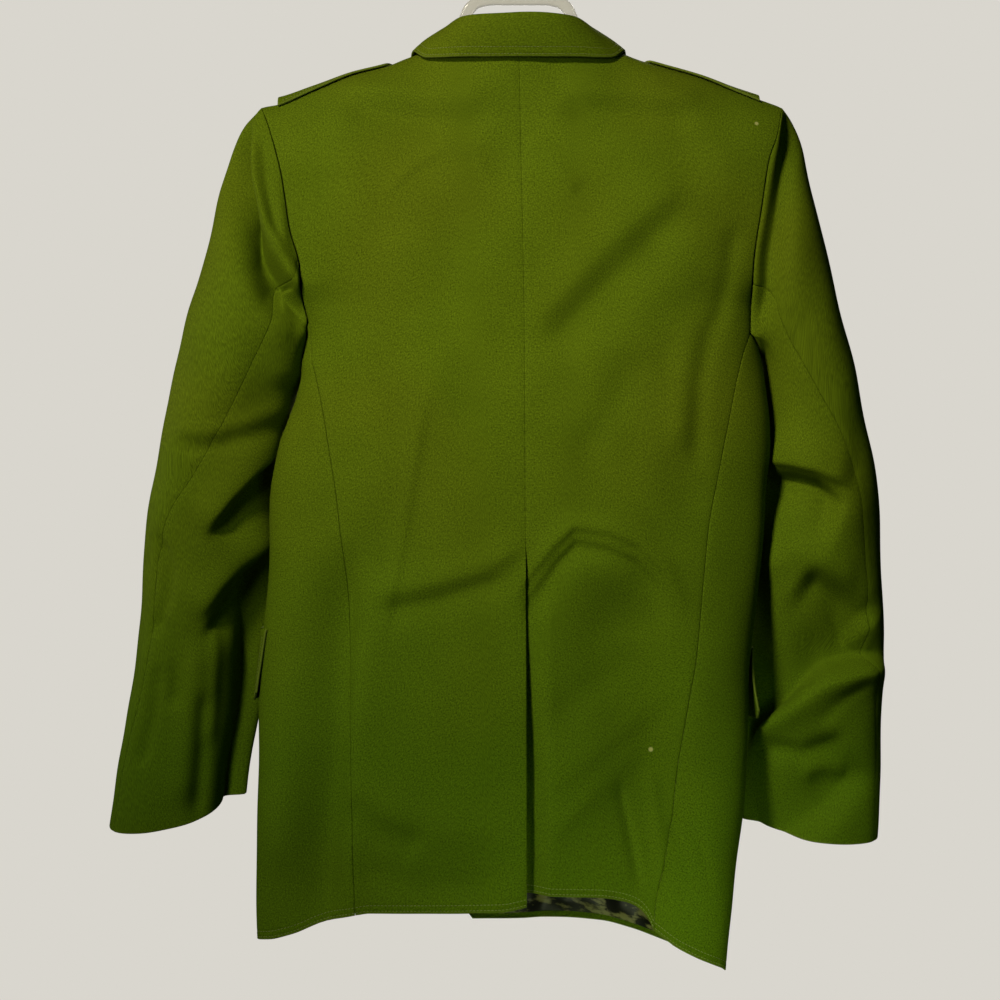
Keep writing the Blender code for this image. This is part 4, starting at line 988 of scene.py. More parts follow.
SLEEVE_CREASES = (
    (-1, 4.0, 6, 5, ((-221, -196), (-218, -238), (-207, -274), (-194, -302), (-178, -332))),
    (
        *(-1, -32.0, 5, 20),
        ((-231, -180), (-229, -209), (-226, -240), (-219, -274), (-206, -305), (-191, -330), (-172, -356)),
    ),
    (-1, -4.0, 4, 8, ((-212, -196), (-206, -247), (-196, -290))),
    (-1, 2.4, 7, 9, ((-290, -446), (-254, -448), (-229, -440), (-190, -422))),
    (-1, -2.6, 9, 7, ((-290, -460), (-253, -461), (-228, -454), (-188, -436))),
    (-1, 8.0, 5, 20, ((-168, -424), (-194, -450), (-221, -478), (-241, -502), (-264, -534))),
    (-1, -9.0, 15, 5, ((-166, -440), (-190, -465), (-212, -486), (-231, -508), (-256, -540))),
    (-1, 6.5, 5, 15, ((-184, -524), (-208, -543), (-229, -559), (-248, -577), (-270, -606))),
    (-1, -10.0, 16, 5, ((-180, -542), (-203, -560), (-222, -575), (-240, -594), (-262, -624))),
    (-1, -28.0, 20, 34, ((-194, -550), (-200, -620), (-205, -680), (-213, -740), (-221, -820))),
    (-1, 3.0, 6, 5, ((-252, -608), (-256, -663), (-262, -718))),
    (-1, -3.6, 5, 6, ((-301, -532), (-291, -563), (-294, -588), (-306, -622))),
    (-1, -3.6, 6, 8, ((-298, -602), (-284, -640), (-289, -685))),
    (-1, -3.4, 5, 6, ((-302, -643), (-308, -688), (-320, -735))),
    (-1, 4.0, 12, 12, ((-268, -623), (-275, -697), (-285, -768))),
    (-1, -4.6, 6, 8, ((-262, -665), (-266, -715), (-272, -782))),
    (-1, -11.0, 14, 8, ((236, -170), (229, -212), (220, -255), (212, -297), (206, -360))),
    (-1, 8.0, 22, 5, ((184, -468), (214, -470), (234, -473), (254, -478), (282, -492))),
    (-1, -15.0, 5, 34, ((184, -484), (212, -486), (234, -489), (252, -494), (276, -512))),
    (-1, 2.0, 14, 10, ((284, -480), (280, -513), (266, -534), (232, -552))),
        (-1, 3.0, 14, 12, ((196, -566), (237, -552), (266, -560), (292, -578))),
    (-1, -12.0, 14, 24, ((240, -572), (276, -593), (306, -612))),
    (
        *(-1, -26.0, 6, 50),
        ((322, -634), (290, -640), (262, -646), (242, -660), (226, -674), (206, -690), (186, -730)),
    ),
    (-1, 7.0, 14, 6, ((322, -646), (290, -654), (262, -662), (242, -678), (220, -694), (192, -712))),
    (-1, -2.0, 5, 8, ((304, -658), (280, -674), (258, -698))),
    (-1, -4.4, 8, 10, ((209, -715), (245, -722), (284, -709))),
    (-1, -17.0, 14, 44, ((300, -730), (262, -768), (214, -800), (190, -830))),
    (-1, 4.0, 9, 9, ((242, -740), (264, -734), (288, -738))),
    (0, 5.0, 18, 18, ((-184, -306), (-190, -412))),
    (1, -4.0, 8, 12, ((-216, -462), (-246, -486), (-280, -496))),
    (1, 3.0, 9, 10, ((-220, -446), (-250, -468), (-288, -476))),
    (1, -3.5, 8, 12, ((-218, -556), (-250, -574), (-290, -576))),
    (1, -3.0, 10, 10, ((-238, -640), (-266, -664), (-300, -668))),
    (1, 2.5, 12, 12, ((-244, -700), (-272, -726), (-310, -734))),
    (1, -4.0, 8, 12, ((222, -470), (252, -488), (290, -494))),
    (1, -3.5, 8, 12, ((216, -570), (250, -590), (292, -586))),
    (1, 3.0, 10, 10, ((212, -620), (250, -640), (296, -634))),
    (1, -3.0, 10, 12, ((214, -690), (250, -712), (292, -706))),
)
CUFF_EDGE = (0, 0.12, 0.4, 0.85, 1.8, 3.2)
# The sleeve takes over from the armhole's line in this many sections, and its folds grow in this many mm.
EASED_SECTIONS, FOLDS_GROW = 4.5, 9.0
COLUMN_WIDTH = 14.0


def armhole_at(side, column):
    """Points of the armhole from the shoulder's tip round under the arm, and the way into its opening."""
    column = np.asarray(column, float)
    low, high = ARMHOLE_COLUMNS, ARMHOLE_COLUMNS + SIDE_COLUMNS
    back_row = ARMHOLE_SHARE["back"] * np.clip(column / low, 0, 1)
    front_row = ARMHOLE_SHARE["front"] * np.clip((AROUND - column) / low, 0, 1)
    share = np.clip((column - low) / SIDE_COLUMNS, 0, 1)
    back = torso_surface(*edge_place(CUTS["back", side], back_row))
    front = torso_surface(*edge_place(CUTS["front", side], front_row))
    flank = torso_surface(*side_place(side, np.zeros_like(share), share))
    places = []
    for k in range(2):
        upper = np.where((column <= low)[:, None], back[k], flank[k])
        places.append(np.where((column >= high)[:, None], front[k], upper))
    loop, normals = places
    run = unit(np.roll(loop, -1, axis=0) - np.roll(loop, 1, axis=0))
    into = unit(np.cross(normals, run))
    middle = loop.mean(axis=0)
    return loop, into * np.sign(((middle - loop) * into).sum())


def tube_normals(points):
    """Normals that point out of a tube of rings."""
    along = np.gradient(points, axis=0)
    across = np.roll(points, -1, axis=1) - np.roll(points, 1, axis=1)
    normals = unit(np.cross(along, across))
    outward = points - points.mean(axis=1, keepdims=True)
    return normals * np.sign((normals * outward).sum())


def sleeve_rings(side, sections, rows, columns):
    """The whole sleeve as rings of points, from the armhole (row 0) to the cuff."""
    index = dict(row=np.arange(len(sections["outer_x"]), dtype=float))
    at = {name: read({**index, name: sections[name]}, "row", name, rows) for name in sections}
    back, front = at["seam_back"][:, None], at["seam_front"][:, None]
    first = SEAM_BACK[side]
    top = columns / first * back
    middle = back + (front - back) * (columns - first) / (SEAM_FRONT - first)
    last = front + (360 - front) * (columns - SEAM_FRONT) / (AROUND - SEAM_FRONT)
    turn = np.radians(np.where(columns < first, top, np.where(columns < SEAM_FRONT, middle, last)))
    outer = np.stack([at[f"outer_{axis}"] for axis in "xyz"], -1)[:, None]
    inner = np.stack([at[f"inner_{axis}"] for axis in "xyz"], -1)[:, None]
    cosine, sine = np.cos(turn), np.sin(turn)
    points = (outer + inner) / 2 + (outer - inner) / 2 * cosine[..., None]
    points[..., 1] -= np.where(sine > 0, at["back"][:, None], at["front"][:, None]) * sine
    points[..., 2] -= at["tilt"][:, None] * sine
    loop, into = armhole_at(side, columns)
    fade = 1 - smooth(rows / EASED_SECTIONS)
    points = points + (loop + into * SEAM_GAP * 1.3 - points[0]) * fade[:, None, None]
    normals = tube_normals(points)
    height = creased(points, normals, SLEEVE_CREASES) + wavered(points * (1.4, 1, 1.2))
    height = height * smooth(edge_distances(points)["top"] / FOLDS_GROW)
    points = points + normals * height[..., None]
    return points, tube_normals(points)


for side, sections in (("left", SLEEVE_LEFT), ("right", SLEEVE_RIGHT)):
    steps = np.stack([sections[f"outer_{axis}"] for axis in "xyz"], -1)
    reach = np.pad(np.cumsum(np.linalg.norm(np.diff(steps, axis=0), axis=-1)), (1, 0))
    rows = np.interp(spaced(reach[-1], SEAM_EDGE, CUFF_EDGE, FINE_STEP)[0], reach, np.arange(len(reach)))
    first = SEAM_BACK[side]
    under_run, top_run = (SEAM_FRONT - first) * COLUMN_WIDTH, (AROUND - SEAM_FRONT + first) * COLUMN_WIDTH
    under_columns = first + spaced(under_run, SEAM_EDGE, SEAM_EDGE, FINE_STEP)[0] / COLUMN_WIDTH
    top_columns = (SEAM_FRONT + spaced(top_run, SEAM_EDGE, SEAM_EDGE, FINE_STEP)[0] / COLUMN_WIDTH) % AROUND
    columns = np.unique(np.round(np.concatenate([under_columns, top_columns]), 9))
    points, normals = sleeve_rings(side, sections, rows, columns)
    for piece, drawn in (("topsleeve", top_columns), ("undersleeve", under_columns)):
        picked = np.searchsorted(columns, np.round(drawn, 9))
        sheet_points = parted(points[:, picked])
        sleeve = cloth_wall(
            f"{piece}_panel_{side}", sheet_points, normals[:, picked], WOOL, seams=("left", "right", "top")
        )
        hang(sleeve, f"{piece}_{side}")

# ---------------------------------------------------------------- collar
# A stand sewn round the neckline and a fall that rolls over it and covers the seam. The fall's edge is
# turned, pressed and topstitched with two rows, and lies a little off the back.
COLLAR = table(
    "sewn_x sewn_z roll_x roll_y roll_z edge_x edge_y edge_z bulge",
    (0, -131, 0, -46, -104.5, 0, -44.5, -137, 9),
    (20, -130.7, 18, -45, -104.5, 21, -43.8, -137, 9),
    (38, -129.8, 35, -41, -104.5, 42, -41.5, -136.4, 8.5),
    (55, -128, 48, -32, -104.2, 62, -36.5, -135.8, 8.5),
    (69, -125.6, 58, -18, -106, 79.5, -26.5, -133.6, 8),
    (NECK_SIDE - 0.5, -124, 64, -1, -109, 90, -7, -124.6, 8.5),
    (77, -134, 65, 17, -117.5, 93, 20, -132.5, 8.5),
    (71, -152, 61.5, 32, -138, 92, 37, -156, 9),
    (61, -178, 57, 44, -171, 87.5, 47, -182, 9),
)
COLLAR_LIFT, COLLAR_SEAM, COLLAR_CLEARANCE = 1.2, 2.1, 4.0
ROLL_RISE = 7.0
COLLAR_ROWS = (2.6, 8.4)
CLOSE_PITCH = 2.6


def collar_line(name, share):
    index = dict(row=np.linspace(0, 1, len(COLLAR["sewn_x"])))
    return read({**index, name: COLLAR[name]}, "row", name, share)


def through(values, at):
    """Points read between rows of points along a smooth curve, at fractions of the row number."""
    index = np.arange(len(values), dtype=float)
    return np.stack([read(dict(row=index, value=column), "row", "value", at) for column in values.T], -1)


def collar_sections():
    """Where the collar is sewn on, rolls over and ends, and how far its roll bulges."""
    half = np.linspace(0, 1, 17)
    share = np.concatenate([half[:0:-1], half])
    sign = np.concatenate([-np.ones(16), np.ones(17)])
    face = np.where(share < 0.625, -1, 1)
    x = NECK_MIDDLE + sign * collar_line("sewn_x", share)
    z = collar_line("sewn_z", share)
    down = np.where(np.abs(share - 0.625) < 0.001, 0, down_at(x, z))
    sewn = torso_point(angle_at(x, z, face), down)
    roll = np.stack([collar_line(f"roll_{axis}", share) for axis in "xyz"], -1)
    edge = np.stack([collar_line(f"edge_{axis}", share) for axis in "xyz"], -1)
    for line in (roll, edge):
        line[:, 0] = NECK_MIDDLE + sign * line[:, 0]
    length = np.linalg.norm(np.diff(edge, axis=0), axis=-1)
    run = np.pad(np.cumsum(length), (1, 0))
    at = np.interp(spaced(run[-1], STITCHED_EDGE, STITCHED_EDGE)[0], run, np.arange(len(run)))
    bulge = collar_line("bulge", share)[:, None]
    return through(sewn, at), through(roll, at), through(edge, at), through(bulge, at)


def crest_point(x, y):
    """A point of the shoulder at this x and y, near its crest, and the normal there."""

    def place(x, y):
        z = crest_z(x)
        share = np.clip(np.abs(x) / half_width(x, z), 0, 1)
        depth = np.where(y < 0, read(TORSO, "z", "back", z), read(TORSO, "z", "front", z))
        full = depth * (1 - share**SQUARENESS) ** (1 / SQUARENESS)
        turn = np.arcsin(np.clip(np.abs(y) / full, 0, 0.995))
        return np.stack([x, y, z - crest_reach(x) * (1 - np.cos(turn))], -1)

    across = place(x + 0.5, y) - place(x - 0.5, y)
    along = place(x, y + 0.5) - place(x, y - 0.5)
    normals = np.cross(across, along)
    return place(x, y), unit(normals * np.sign(normals[..., 2:]))


def grid_normals(points, outward):
    normals = unit(np.cross(np.gradient(points, axis=0), np.gradient(points, axis=1)))
    return normals * np.sign((normals * outward).sum())


sewn, roll, edge, bulge = collar_sections()
away = (sewn - (NECK_MIDDLE, 0, 0)) * (1, 1, 0)
rise = (spaced(30.0, SEAM_EDGE, SEAM_EDGE)[0] / 30.0)[:, None, None]
start = sewn + (0, 0, COLLAR_LIFT) - unit(away) * 0.5
stand = start + (roll - start) * rise
stand_normals = grid_normals(stand, away)
collar_stand = cloth_wall("collar_band", stand, stand_normals, WOOL, seams=("top",))
hang(collar_stand, "collar_stand")

over = (spaced(46.0, SEAM_EDGE, STITCHED_EDGE, 1.6)[0] / 46.0)[:, None, None]
run = unit(np.gradient(roll, axis=0))
upward = roll - sewn
upward = unit(upward - (upward * run).sum(axis=-1, keepdims=True) * run)
begin = roll - stand_normals[-1] * WALL + upward * COLLAR_SEAM
seat, _ = crest_point(edge[:, 0], edge[:, 1])
edge[:, 2] = np.maximum(edge[:, 2], seat[:, 2] + COLLAR_CLEARANCE)
first = begin + upward * ROLL_RISE
second = edge + (begin - edge) * 0.78 + stand_normals[-1] * bulge
fall = (1 - over) ** 3 * begin + 3 * (1 - over) ** 2 * over * first
fall = fall + 3 * (1 - over) * over**2 * second + over**3 * edge
uneven = np.sin(fall[..., 0] / 17.0 + 0.6) * 0.5 + np.sin(fall[..., 0] / 9.0) * 0.25
fall[..., 2] += uneven * np.exp(-(((over[..., 0] - 0.25) / 0.25) ** 2))
fall_normals = grid_normals(fall, away)
lines = [line_by_edge(fall, fall_normals, "bottom", place) for place in COLLAR_ROWS]
stitches = sew("collar_stitches", lines, THREAD, CLOSE_PITCH)
stitched = [("bottom", COLLAR_ROWS)]
collar_fall = cloth_wall("collar_leaf", fall, fall_normals, WOOL, wall=2.0, stitched=stitched)
hang(collar_fall, "collar_fall")

# ---------------------------------------------------------------- lapels
# Each lapel rolls out of its front panel's edge and lies flat on it. They are hidden in the photograph,
# so they are of the usual notched cut, topstitched as the collar is.
LAPEL = table("share width", (0.02, 40), (0.08, 66), (0.15, 84), (0.3, 78), (0.55, 56), (0.8, 27), (0.95, 9))

LAPEL_TOP, LAPEL_ROW = -184.0, 6.0

for side, sign, bottom in (("left", -1, -408), ("right", 1, -318)):
    seam = FRONT_LEFT_IN if side == "left" else FRONT_RIGHT_IN
    z = LAPEL_TOP - spaced(LAPEL_TOP - bottom, STITCHED_EDGE, SEAM_EDGE)[0]
    x = read(seam, "z", "x", z)
    share = (z - z[0]) / (z[-1] - z[0])
    width = read(LAPEL, "share", "width", share)
    run = unit(np.stack([np.gradient(x, z), np.ones_like(z)], -1)) * -1
    sideways = sign * np.stack([-run[:, 1], run[:, 0]], -1)
    across = spaced(80.0, SEAM_EDGE, STITCHED_EDGE, 2.6)[0] / 80.0
    raised = np.interp(across, (0, 0.1, 0.3, 0.55, 0.78, 1.0), (2.4, 5.2, 5.6, 4.6, 3.4, 2.6))
    spot = np.stack([x, z], -1)[:, None] + sideways[:, None] * (width[:, None] * across)[..., None]
    angle, down = angle_at(spot[..., 0], spot[..., 1], 1), down_at(spot[..., 0], spot[..., 1])
    sink = closing_sink(angle, down) if side == "right" else 0 * down
    points, normals = torso_surface(angle, down, sink)
    points = points + normals * raised[:, None]
    lapel_normals = grid_normals(points, normals)
    lines = [line_by_edge(points, lapel_normals, "right", LAPEL_ROW, 8.0)]
    stitches = sew(f"lapel_stitches_{side}", lines, THREAD, CLOSE_PITCH)
    lapel = cloth_wall(f"lapel_leaf_{side}", points, lapel_normals, WOOL, stitched=[("right", (LAPEL_ROW,))])
    hang(lapel, f"lapel_{side}")

# ---------------------------------------------------------------- shoulder straps
# A double strap of the same wool lies along each shoulder, sewn in at the armhole, pointed at the collar
# end and held there by a button. In the photograph only its rear edge shows over the shoulder.
STRAP_OUTER, STRAP_INNER, STRAP_POINT = 203.0, 99.0, 14.0
STRAP_BEHIND, STRAP_BEFORE, STRAP_TURN = 13.0, 29.0, 12.0
STRAP_GAP, STRAP_WALL = 1.1, 2.0
STRAP_BOW = {"left": 4.2, "right": 0.6}
STRAP_LENGTH, STRAP_WIDTH = STRAP_OUTER - STRAP_INNER, STRAP_BEHIND + STRAP_BEFORE
STRAP_ROW, STRAP_STEP = 4.0, 2.6
strap_seats = {}


def sew_leaf(name, stitches_name, points, normals, row, trim, seams=()):
    """A piece of double wool, topstitched along its three free edges; the stitches come with it."""
    free = ("left", "right", "bottom")
    lines = [line_by_edge(points, normals, edge_name, row, trim) for edge_name in free]
    stitches = sew(stitches_name, lines, THREAD, CLOSE_PITCH)
    stitched = [(edge_name, (row,)) for edge_name in free]
    leaf = cloth_wall(name, points, normals, WOOL, wall=STRAP_WALL, seams=seams, stitched=stitched)
    return leaf, stitches


for side, sign in (("left", -1), ("right", 1)):
    along = spaced(STRAP_LENGTH, STITCHED_EDGE, STITCHED_EDGE, STRAP_STEP)[0][:, None] / STRAP_LENGTH
    across = spaced(STRAP_WIDTH, STITCHED_EDGE, STITCHED_EDGE, STRAP_STEP)[0] / STRAP_WIDTH
    point = smooth((along - 0.86) / 0.14) * 0.8
    reach = STRAP_OUTER + (STRAP_INNER - STRAP_OUTER) * along
    half = STRAP_WIDTH / 2 * (1 - point)
    x = NECK_MIDDLE + sign * (reach + 0 * across)
    y = (STRAP_BEFORE - STRAP_BEHIND) / 2 + STRAP_TURN * along + (2 * across - 1) * half
    points, normals = crest_point(x, y)
    bow = STRAP_BOW[side] * np.sin(np.pi * across) * (1 - 0.85 * smooth(along))
    points = points + normals * (STRAP_GAP + bow + STRAP_WALL)[..., None]
    strap_normals = grid_normals(points, normals)
    name, stitches_name = f"shoulder_strap_{side}", f"strap_stitches_{side}"
    strap, stitches = sew_leaf(name, stitches_name, points, strap_normals, STRAP_ROW, 5.0)
    hang(strap, f"epaulette_{side}")
    seat_x = np.array(NECK_MIDDLE + sign * (STRAP_INNER + STRAP_POINT))
    seat, normal = crest_point(seat_x, np.array((STRAP_BEFORE - STRAP_BEHIND) / 2 + STRAP_TURN))
    lift = STRAP_GAP + STRAP_WALL + 0.5 + STRAP_BOW[side] * 0.23
    strap_seats[side] = (seat + normal * lift, normal)

# ---------------------------------------------------------------- pocket flaps
# A flap of double wool over each lower pocket, reaching round to the side panel. The right one has come
# to stand off the body, and its worn topstitching shows; the left one's rear end gapes a little.
FLAP_HEIGHT, FLAP_ROW = 61.0, 4.5
FLAP_ENDS = {"left": (199.0, 118.0), "right": (-4.0, 60.0)}
FLAP_TOP = {"left": -614.0, "right": -630.0}
FLAP_SLANT = {"left": -6.0, "right": 0.0}
FLAP_FLARE = {"left": 2.0, "right": 7.5}
LYING_GAP = 0.6

for side in ("left", "right"):
    first, last = FLAP_ENDS[side]
    along = spaced(180.0, STITCHED_EDGE, STITCHED_EDGE)[0] / 180.0
    low = (spaced(FLAP_HEIGHT, SEAM_EDGE, STITCHED_EDGE, 2.6)[0] / FLAP_HEIGHT)[:, None]
    angle = first + (last - first) * along + FLAP_SLANT[side] * low * (1 - along)
    top = FLAP_TOP[side] + 4 * along
    corner = 7 * (1 - smooth(along / 0.1)) + 7 * smooth((along - 0.9) / 0.1)
    z = top - low * (FLAP_HEIGHT - corner)
    x = torso_point(angle, -z - 150)[..., 0]
    points, normals = torso_surface(angle, down_at(x, z))
    gap = LYING_GAP + FLAP_FLARE[side] * low**1.5 * (1 - 0.75 * smooth(along / 0.5))
    points = points + normals * (gap + STRAP_WALL + 0 * along)[..., None]
    flap_normals = grid_normals(points, normals)
    name, stitches_name = f"flap_{side}", f"flap_stitches_{side}"
    flap, stitches = sew_leaf(name, stitches_name, points, flap_normals, FLAP_ROW, 6.0, seams=("top",))
    hang(flap, f"pocket_flap_{side}")

# ---------------------------------------------------------------- buttons
# Plain domed metal buttons with a rolled rim, stamped from nickel-plated brass: four down the front and
# a smaller one on each shoulder strap. They are hidden in the photograph, and left as they are.
BUTTON_RADIUS, STRAP_BUTTON_RADIUS = 10.5, 7.5
BUTTON_X = LEFT_EDGE - 18
BUTTON_HEIGHTS = (-432, -512, -592, -672)
BUTTON_PROFILE = table(
    "out rise",
    (0.0, 0.02),
    (0.5, 0.0),
    (0.9, 0.0),
    (0.975, 0.04),
    (1.0, 0.11),
    (0.985, 0.19),
    (0.94, 0.235),
    (0.89, 0.235),
    (0.86, 0.215),
    (0.82, 0.25),
    (0.7, 0.345),
    (0.52, 0.42),
    (0.3, 0.465),
    (0.12, 0.48),
    (0.0, 0.482),
)


def plated_brass():
    """Nickel-plated brass, stamped and tumbled: bright but softly brushed, with fine handling marks."""
    material, tree, shader = new_material("nickel_plated_brass")
    place = add_node(tree, "ShaderNodeTexCoord").outputs["Object"]
    marks = noise(tree, place, 900.0, 4.0)
    tree.links.new(mapped(tree, marks, 0.3, 0.7, 0.22, 0.4), shader.inputs["Roughness"])
    tone = mixed(tree, marks, hex_colour("a9a697"), hex_colour("c6c4b8"))
    tree.links.new(tone, shader.inputs["Base Color"])
    raise_by(tree, shader, marks, 0.08, 0.0003)
    set_shader(shader, {"Metallic": 1.0})
    return material


def solid_mesh(name, points, faces, material):
    """A closed mesh with its faces pointing out, from points in millimetres."""
    corners = points[np.array([face[:3] for face in faces])]
    if np.einsum("ij,ij->i", corners[:, 0], np.cross(corners[:, 1], corners[:, 2])).sum() < 0:
        faces = [face[::-1] for face in faces]
    mesh = bpy.data.meshes.new(name)
    mesh.from_pydata((points * MM).tolist(), [], faces)
    mesh.materials.append(material)
    mesh.shade_smooth()
    mesh.set_sharp_from_angle(angle=np.radians(50))
    mesh.update()
    return place_object(name, mesh)


def ring_faces(rings, around):
    """Quads between rings of points, with a fan at each end onto the two points after them."""
    faces = []
    for i in range(rings - 1):
        for j in range(around):
            k = (j + 1) % around
            faces.append((i * around + j, i * around + k, (i + 1) * around + k, (i + 1) * around + j))
    size = rings * around
    for j in range(around):
        k = (j + 1) % around
        faces.append((size, k, j))
        faces.append((size + 1, size - around + j, size - around + k))
    return faces


def add_button(name, node_name, centre, normal, radius, metal):
    turn = np.linspace(0, 2 * np.pi, 40, endpoint=False)[:, None]
    normal = unit(np.asarray(normal).reshape(3))
    sideways = unit(np.cross(normal, (0, 0.3, 1)))
    upward = np.cross(normal, sideways)
    circle = np.cos(turn) * sideways + np.sin(turn) * upward
    rings = [
        centre + radius * (out * circle + rise * normal)
        for out, rise in zip(BUTTON_PROFILE["out"][1:-1], BUTTON_PROFILE["rise"][1:-1])
    ]
    ends = [centre + radius * BUTTON_PROFILE["rise"][k] * normal for k in (0, -1)]
    points = np.concatenate([np.array(rings).reshape(-1, 3), ends])
    button = solid_mesh(name, points, ring_faces(len(rings), 40), metal)
    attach(button, "root")
    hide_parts(node_name)


PLATED = plated_brass()
for number, height in enumerate(BUTTON_HEIGHTS, start=1):
    x, z = np.array(float(BUTTON_X)), np.array(float(height))
    seat, normal = torso_surface(angle_at(x, z, 1), down_at(x, z))
    seat = seat + normal * LYING_GAP
    add_button(f"coat_button_{number}", f"front_button_{number}", seat, normal, BUTTON_RADIUS, PLATED)
for side, (seat, normal) in strap_seats.items():
    add_button(f"strap_button_{side}", f"epaulette_button_{side}", seat, normal, STRAP_BUTTON_RADIUS, PLATED)

# ---------------------------------------------------------------- lining
# Dark satin inside the right front, seen under the back's hem where the vent opens. It is slack and finely
# creased, and its broken tan lights are painted highlights in its colour.
LINING_TOP, LINING_HEM, LINING_WALL = -640.0, 5.0, 0.8
LINING_LENGTH, LINING_WIDTH, LINING_INSET = 235.0, 155.0, 1 / 8


def lining_satin():
    """Acetate satin: smooth floats of yarn give soft gloss over a nearly black olive ground, and long tan
    highlights are painted into its colour.
    """
    material, tree, shader = new_material("dark_satin_lining")
    cut = add_node(tree, "ShaderNodeUVMap", uv_map="cut").outputs[0]
    drawn = add_node(tree, "ShaderNodeMapping", {"Vector": cut, "Scale": (0.5, 1.0, 1.0)})
    # Painted highlights: tan patches mixed into the near-black colour, standing for light on the satin's
    # creases.
    painted_highlight = mapped(tree, noise(tree, drawn.outputs[0], 1 / 0.011, 4.0, 0.62), 0.5, 0.6, 0.0, 1.0)
    tone = mixed(tree, painted_highlight, hex_colour("0a0b04"), hex_colour("7d7b48"))
    tree.links.new(tone, shader.inputs["Base Color"])
    raise_by(tree, shader, noise(tree, cut, 1 / 0.0009, 2.0), 0.2, 0.0003)
    set_shader(shader, {"Roughness": 0.42, "Specular IOR Level": 0.2, "Anisotropic": 0.5})
    return material


cut = CUTS["front", "right"]
corner_rows = np.linspace(0, 1, 19)
coarse = ARMHOLE_SHARE["front"] + (1 - ARMHOLE_SHARE["front"]) * corner_rows
heights = torso_point(*panel_place(cut, coarse, np.zeros_like(coarse)))[:, 2]
top_row = coarse[:-1][heights[:-1] < LINING_TOP][0]
low_row = 1 - LINING_HEM / float(edge_downs(cut, np.array(0.5))[1])
along = spaced(LINING_LENGTH, SEAM_EDGE, SEAM_EDGE, 2.6)[0] / LINING_LENGTH
across = spaced(LINING_WIDTH, SEAM_EDGE, SEAM_EDGE, 2.6)[0] / LINING_WIDTH
row = top_row + (low_row - top_row) * along
share = LINING_INSET + (1 - 2 * LINING_INSET) * across
angle, down = panel_place(cut, row[:, None] + 0 * share, share + 0 * row[:, None])
points, normals = torso_surface(angle, down, closing_sink(angle, down))
x, z = points[..., 0], points[..., 2]
slack = 0.9 * np.sin(x / 4.1 + z / 31) + 0.7 * np.sin(x / 6.7 - z / 17)
slack = (slack + 1.6) * smooth(np.minimum.reduce(list(edge_distances(points).values())) / 12)
points = points - normals * (WALL + LYING_GAP + slack)[..., None]
lining_normals = grid_normals(points, normals)
lining = cloth_wall("front_lining_right", points, lining_normals, lining_satin(), wall=LINING_WALL)
hang(lining, "lining_front_right")

# ---------------------------------------------------------------- hanger
# One moulding of clear polystyrene with a ribbed edge, and a hook of bright wire pushed into its middle.
# Its neck shows above the collar; the arms run inside the shoulders.
HANGER_RADIUS = 5.0
HANGER_PATH = table(
    "x z",
    (0, -79.5),
    (22, -79.5),
    (35, -82),
    (42, -88),
    (46, -97),
    (50, -108),
    (55, -118),
    (64, -130),
    (80, -138),
)
HANGER_END = 200.0
HOOK_WIRE, HOOK_INSIDE = 1.9, 20.0


def clear_polystyrene():
    """Crystal polystyrene, injection moulded: clear and glossy, seen by its edges and reflections."""
    material, tree, shader = new_material("clear_polystyrene")
    place = add_node(tree, "ShaderNodeTexCoord").outputs["Object"]
    flow = noise(tree, place, 60.0, 3.0)
    raise_by(tree, shader, flow, 0.12, 0.001)
    tree.links.new(mapped(tree, flow, 0.3, 0.8, 0.05, 0.2), shader.inputs["Roughness"])
    set_shader(shader, {"Base Color": hex_colour("d8d2c2"), "Alpha": 0.42, "IOR": 1.59})
    return material


def bright_wire():
    """Zinc-plated steel wire: drawn, so its fine scratches run along it."""
    material, tree, shader = new_material("bright_wire")
    place = add_node(tree, "ShaderNodeTexCoord").outputs["Object"]
    gloss = mapped(tree, noise(tree, place, 700.0, 3.0), 0.3, 0.7, 0.18, 0.34)
    tree.links.new(gloss, shader.inputs["Roughness"])
    set_shader(shader, {"Base Color": hex_colour("c3c4c6"), "Metallic": 1.0})
    return material


def rings_along(path, section):
    """The section's points (sideways, depth) square to a path in the plane of X and Z."""
    heading = unit(np.gradient(path, axis=0))
    sideways = np.stack([-heading[:, 2], 0 * heading[:, 0], heading[:, 0]], -1)
    depth = np.array([0.0, 1.0, 0.0])
    return path[:, None] + section[..., :1] * sideways[:, None] + section[..., 1:] * depth


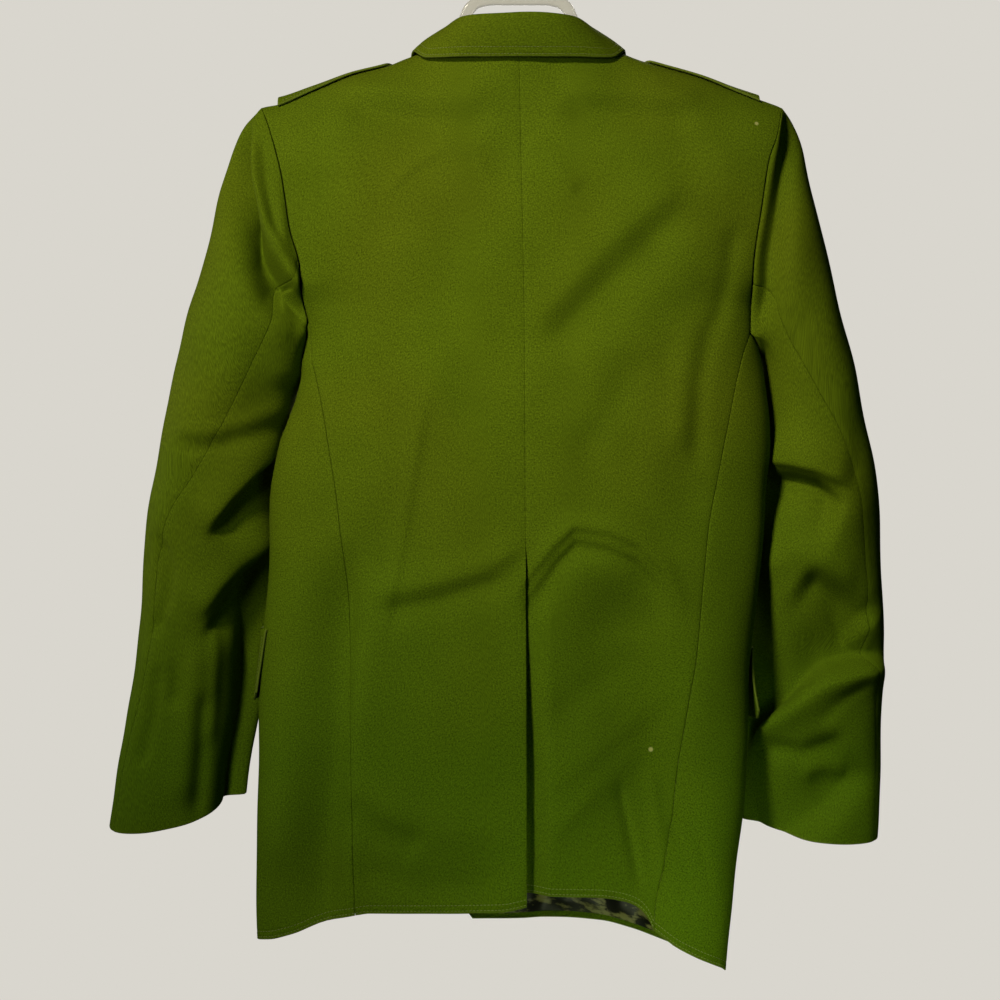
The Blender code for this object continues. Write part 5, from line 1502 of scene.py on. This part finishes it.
def add_bar(name, node_name, rings, material):
    ends = [rings[0].mean(axis=0), rings[-1].mean(axis=0)]
    points = np.concatenate([rings.reshape(-1, 3), ends])
    bar = solid_mesh(name, points, ring_faces(len(rings), rings.shape[1]), material)
    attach(bar, "root")
    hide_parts(node_name)


x = np.linspace(92, HANGER_END, 40)
left, right = crest_z(NECK_MIDDLE - x), crest_z(NECK_MIDDLE + x)
below = WALL + LYING_GAP + HANGER_RADIUS + 0.5
share = np.linspace(0, HANGER_PATH["x"][-1], 60)
neck = read(HANGER_PATH, "x", "z", share)
drop_left = below * np.sqrt(1 + np.gradient(left, x) ** 2)
drop_right = below * np.sqrt(1 + np.gradient(right, x) ** 2)
path_x = np.concatenate([-x[::-1], -share[:0:-1], share, x]) + NECK_MIDDLE
path_z = np.concatenate([(left - drop_left)[::-1], neck[:0:-1], neck, right - drop_right])
path = np.stack([path_x, 0 * path_x, path_z], -1)
# The moulding's section is a bar pinched in its middle, as wide as the solid's round one.
turn = np.linspace(0, 2 * np.pi, 32, endpoint=False)
pinch = 0.55 + 0.4 * np.abs(np.cos(turn)) ** 3
section = np.stack([np.cos(turn), np.sin(turn) * pinch], -1) * HANGER_RADIUS
size = np.ones(len(path))
size[:3], size[-3:] = (0.5, 0.8, 0.95), (0.95, 0.8, 0.5)
rings = rings_along(path, section * size[:, None, None])
add_bar("hanger_moulding", "hanger_body", rings, clear_polystyrene())

radius = HOOK_INSIDE + HOOK_WIRE
turn = np.radians(np.linspace(-68, 188, 72))
foot = HANGER_PATH["z"][0] + HANGER_RADIUS + 0.3
shank_z = np.linspace(foot, foot + 9, 6)
hook_x = np.concatenate([NECK_MIDDLE + 0 * shank_z, radius * np.cos(turn)])
hook_z = np.concatenate([shank_z, radius * np.sin(turn) - HOOK_INSIDE])
path = np.stack([hook_x, 0 * hook_x, hook_z], -1)
turn = np.linspace(0, 2 * np.pi, 20, endpoint=False)
section = np.broadcast_to(np.stack([np.cos(turn), np.sin(turn)], -1) * HOOK_WIRE, (len(path), 20, 2))
add_bar("hanger_wire_hook", "hanger_hook", rings_along(path, section), bright_wire())
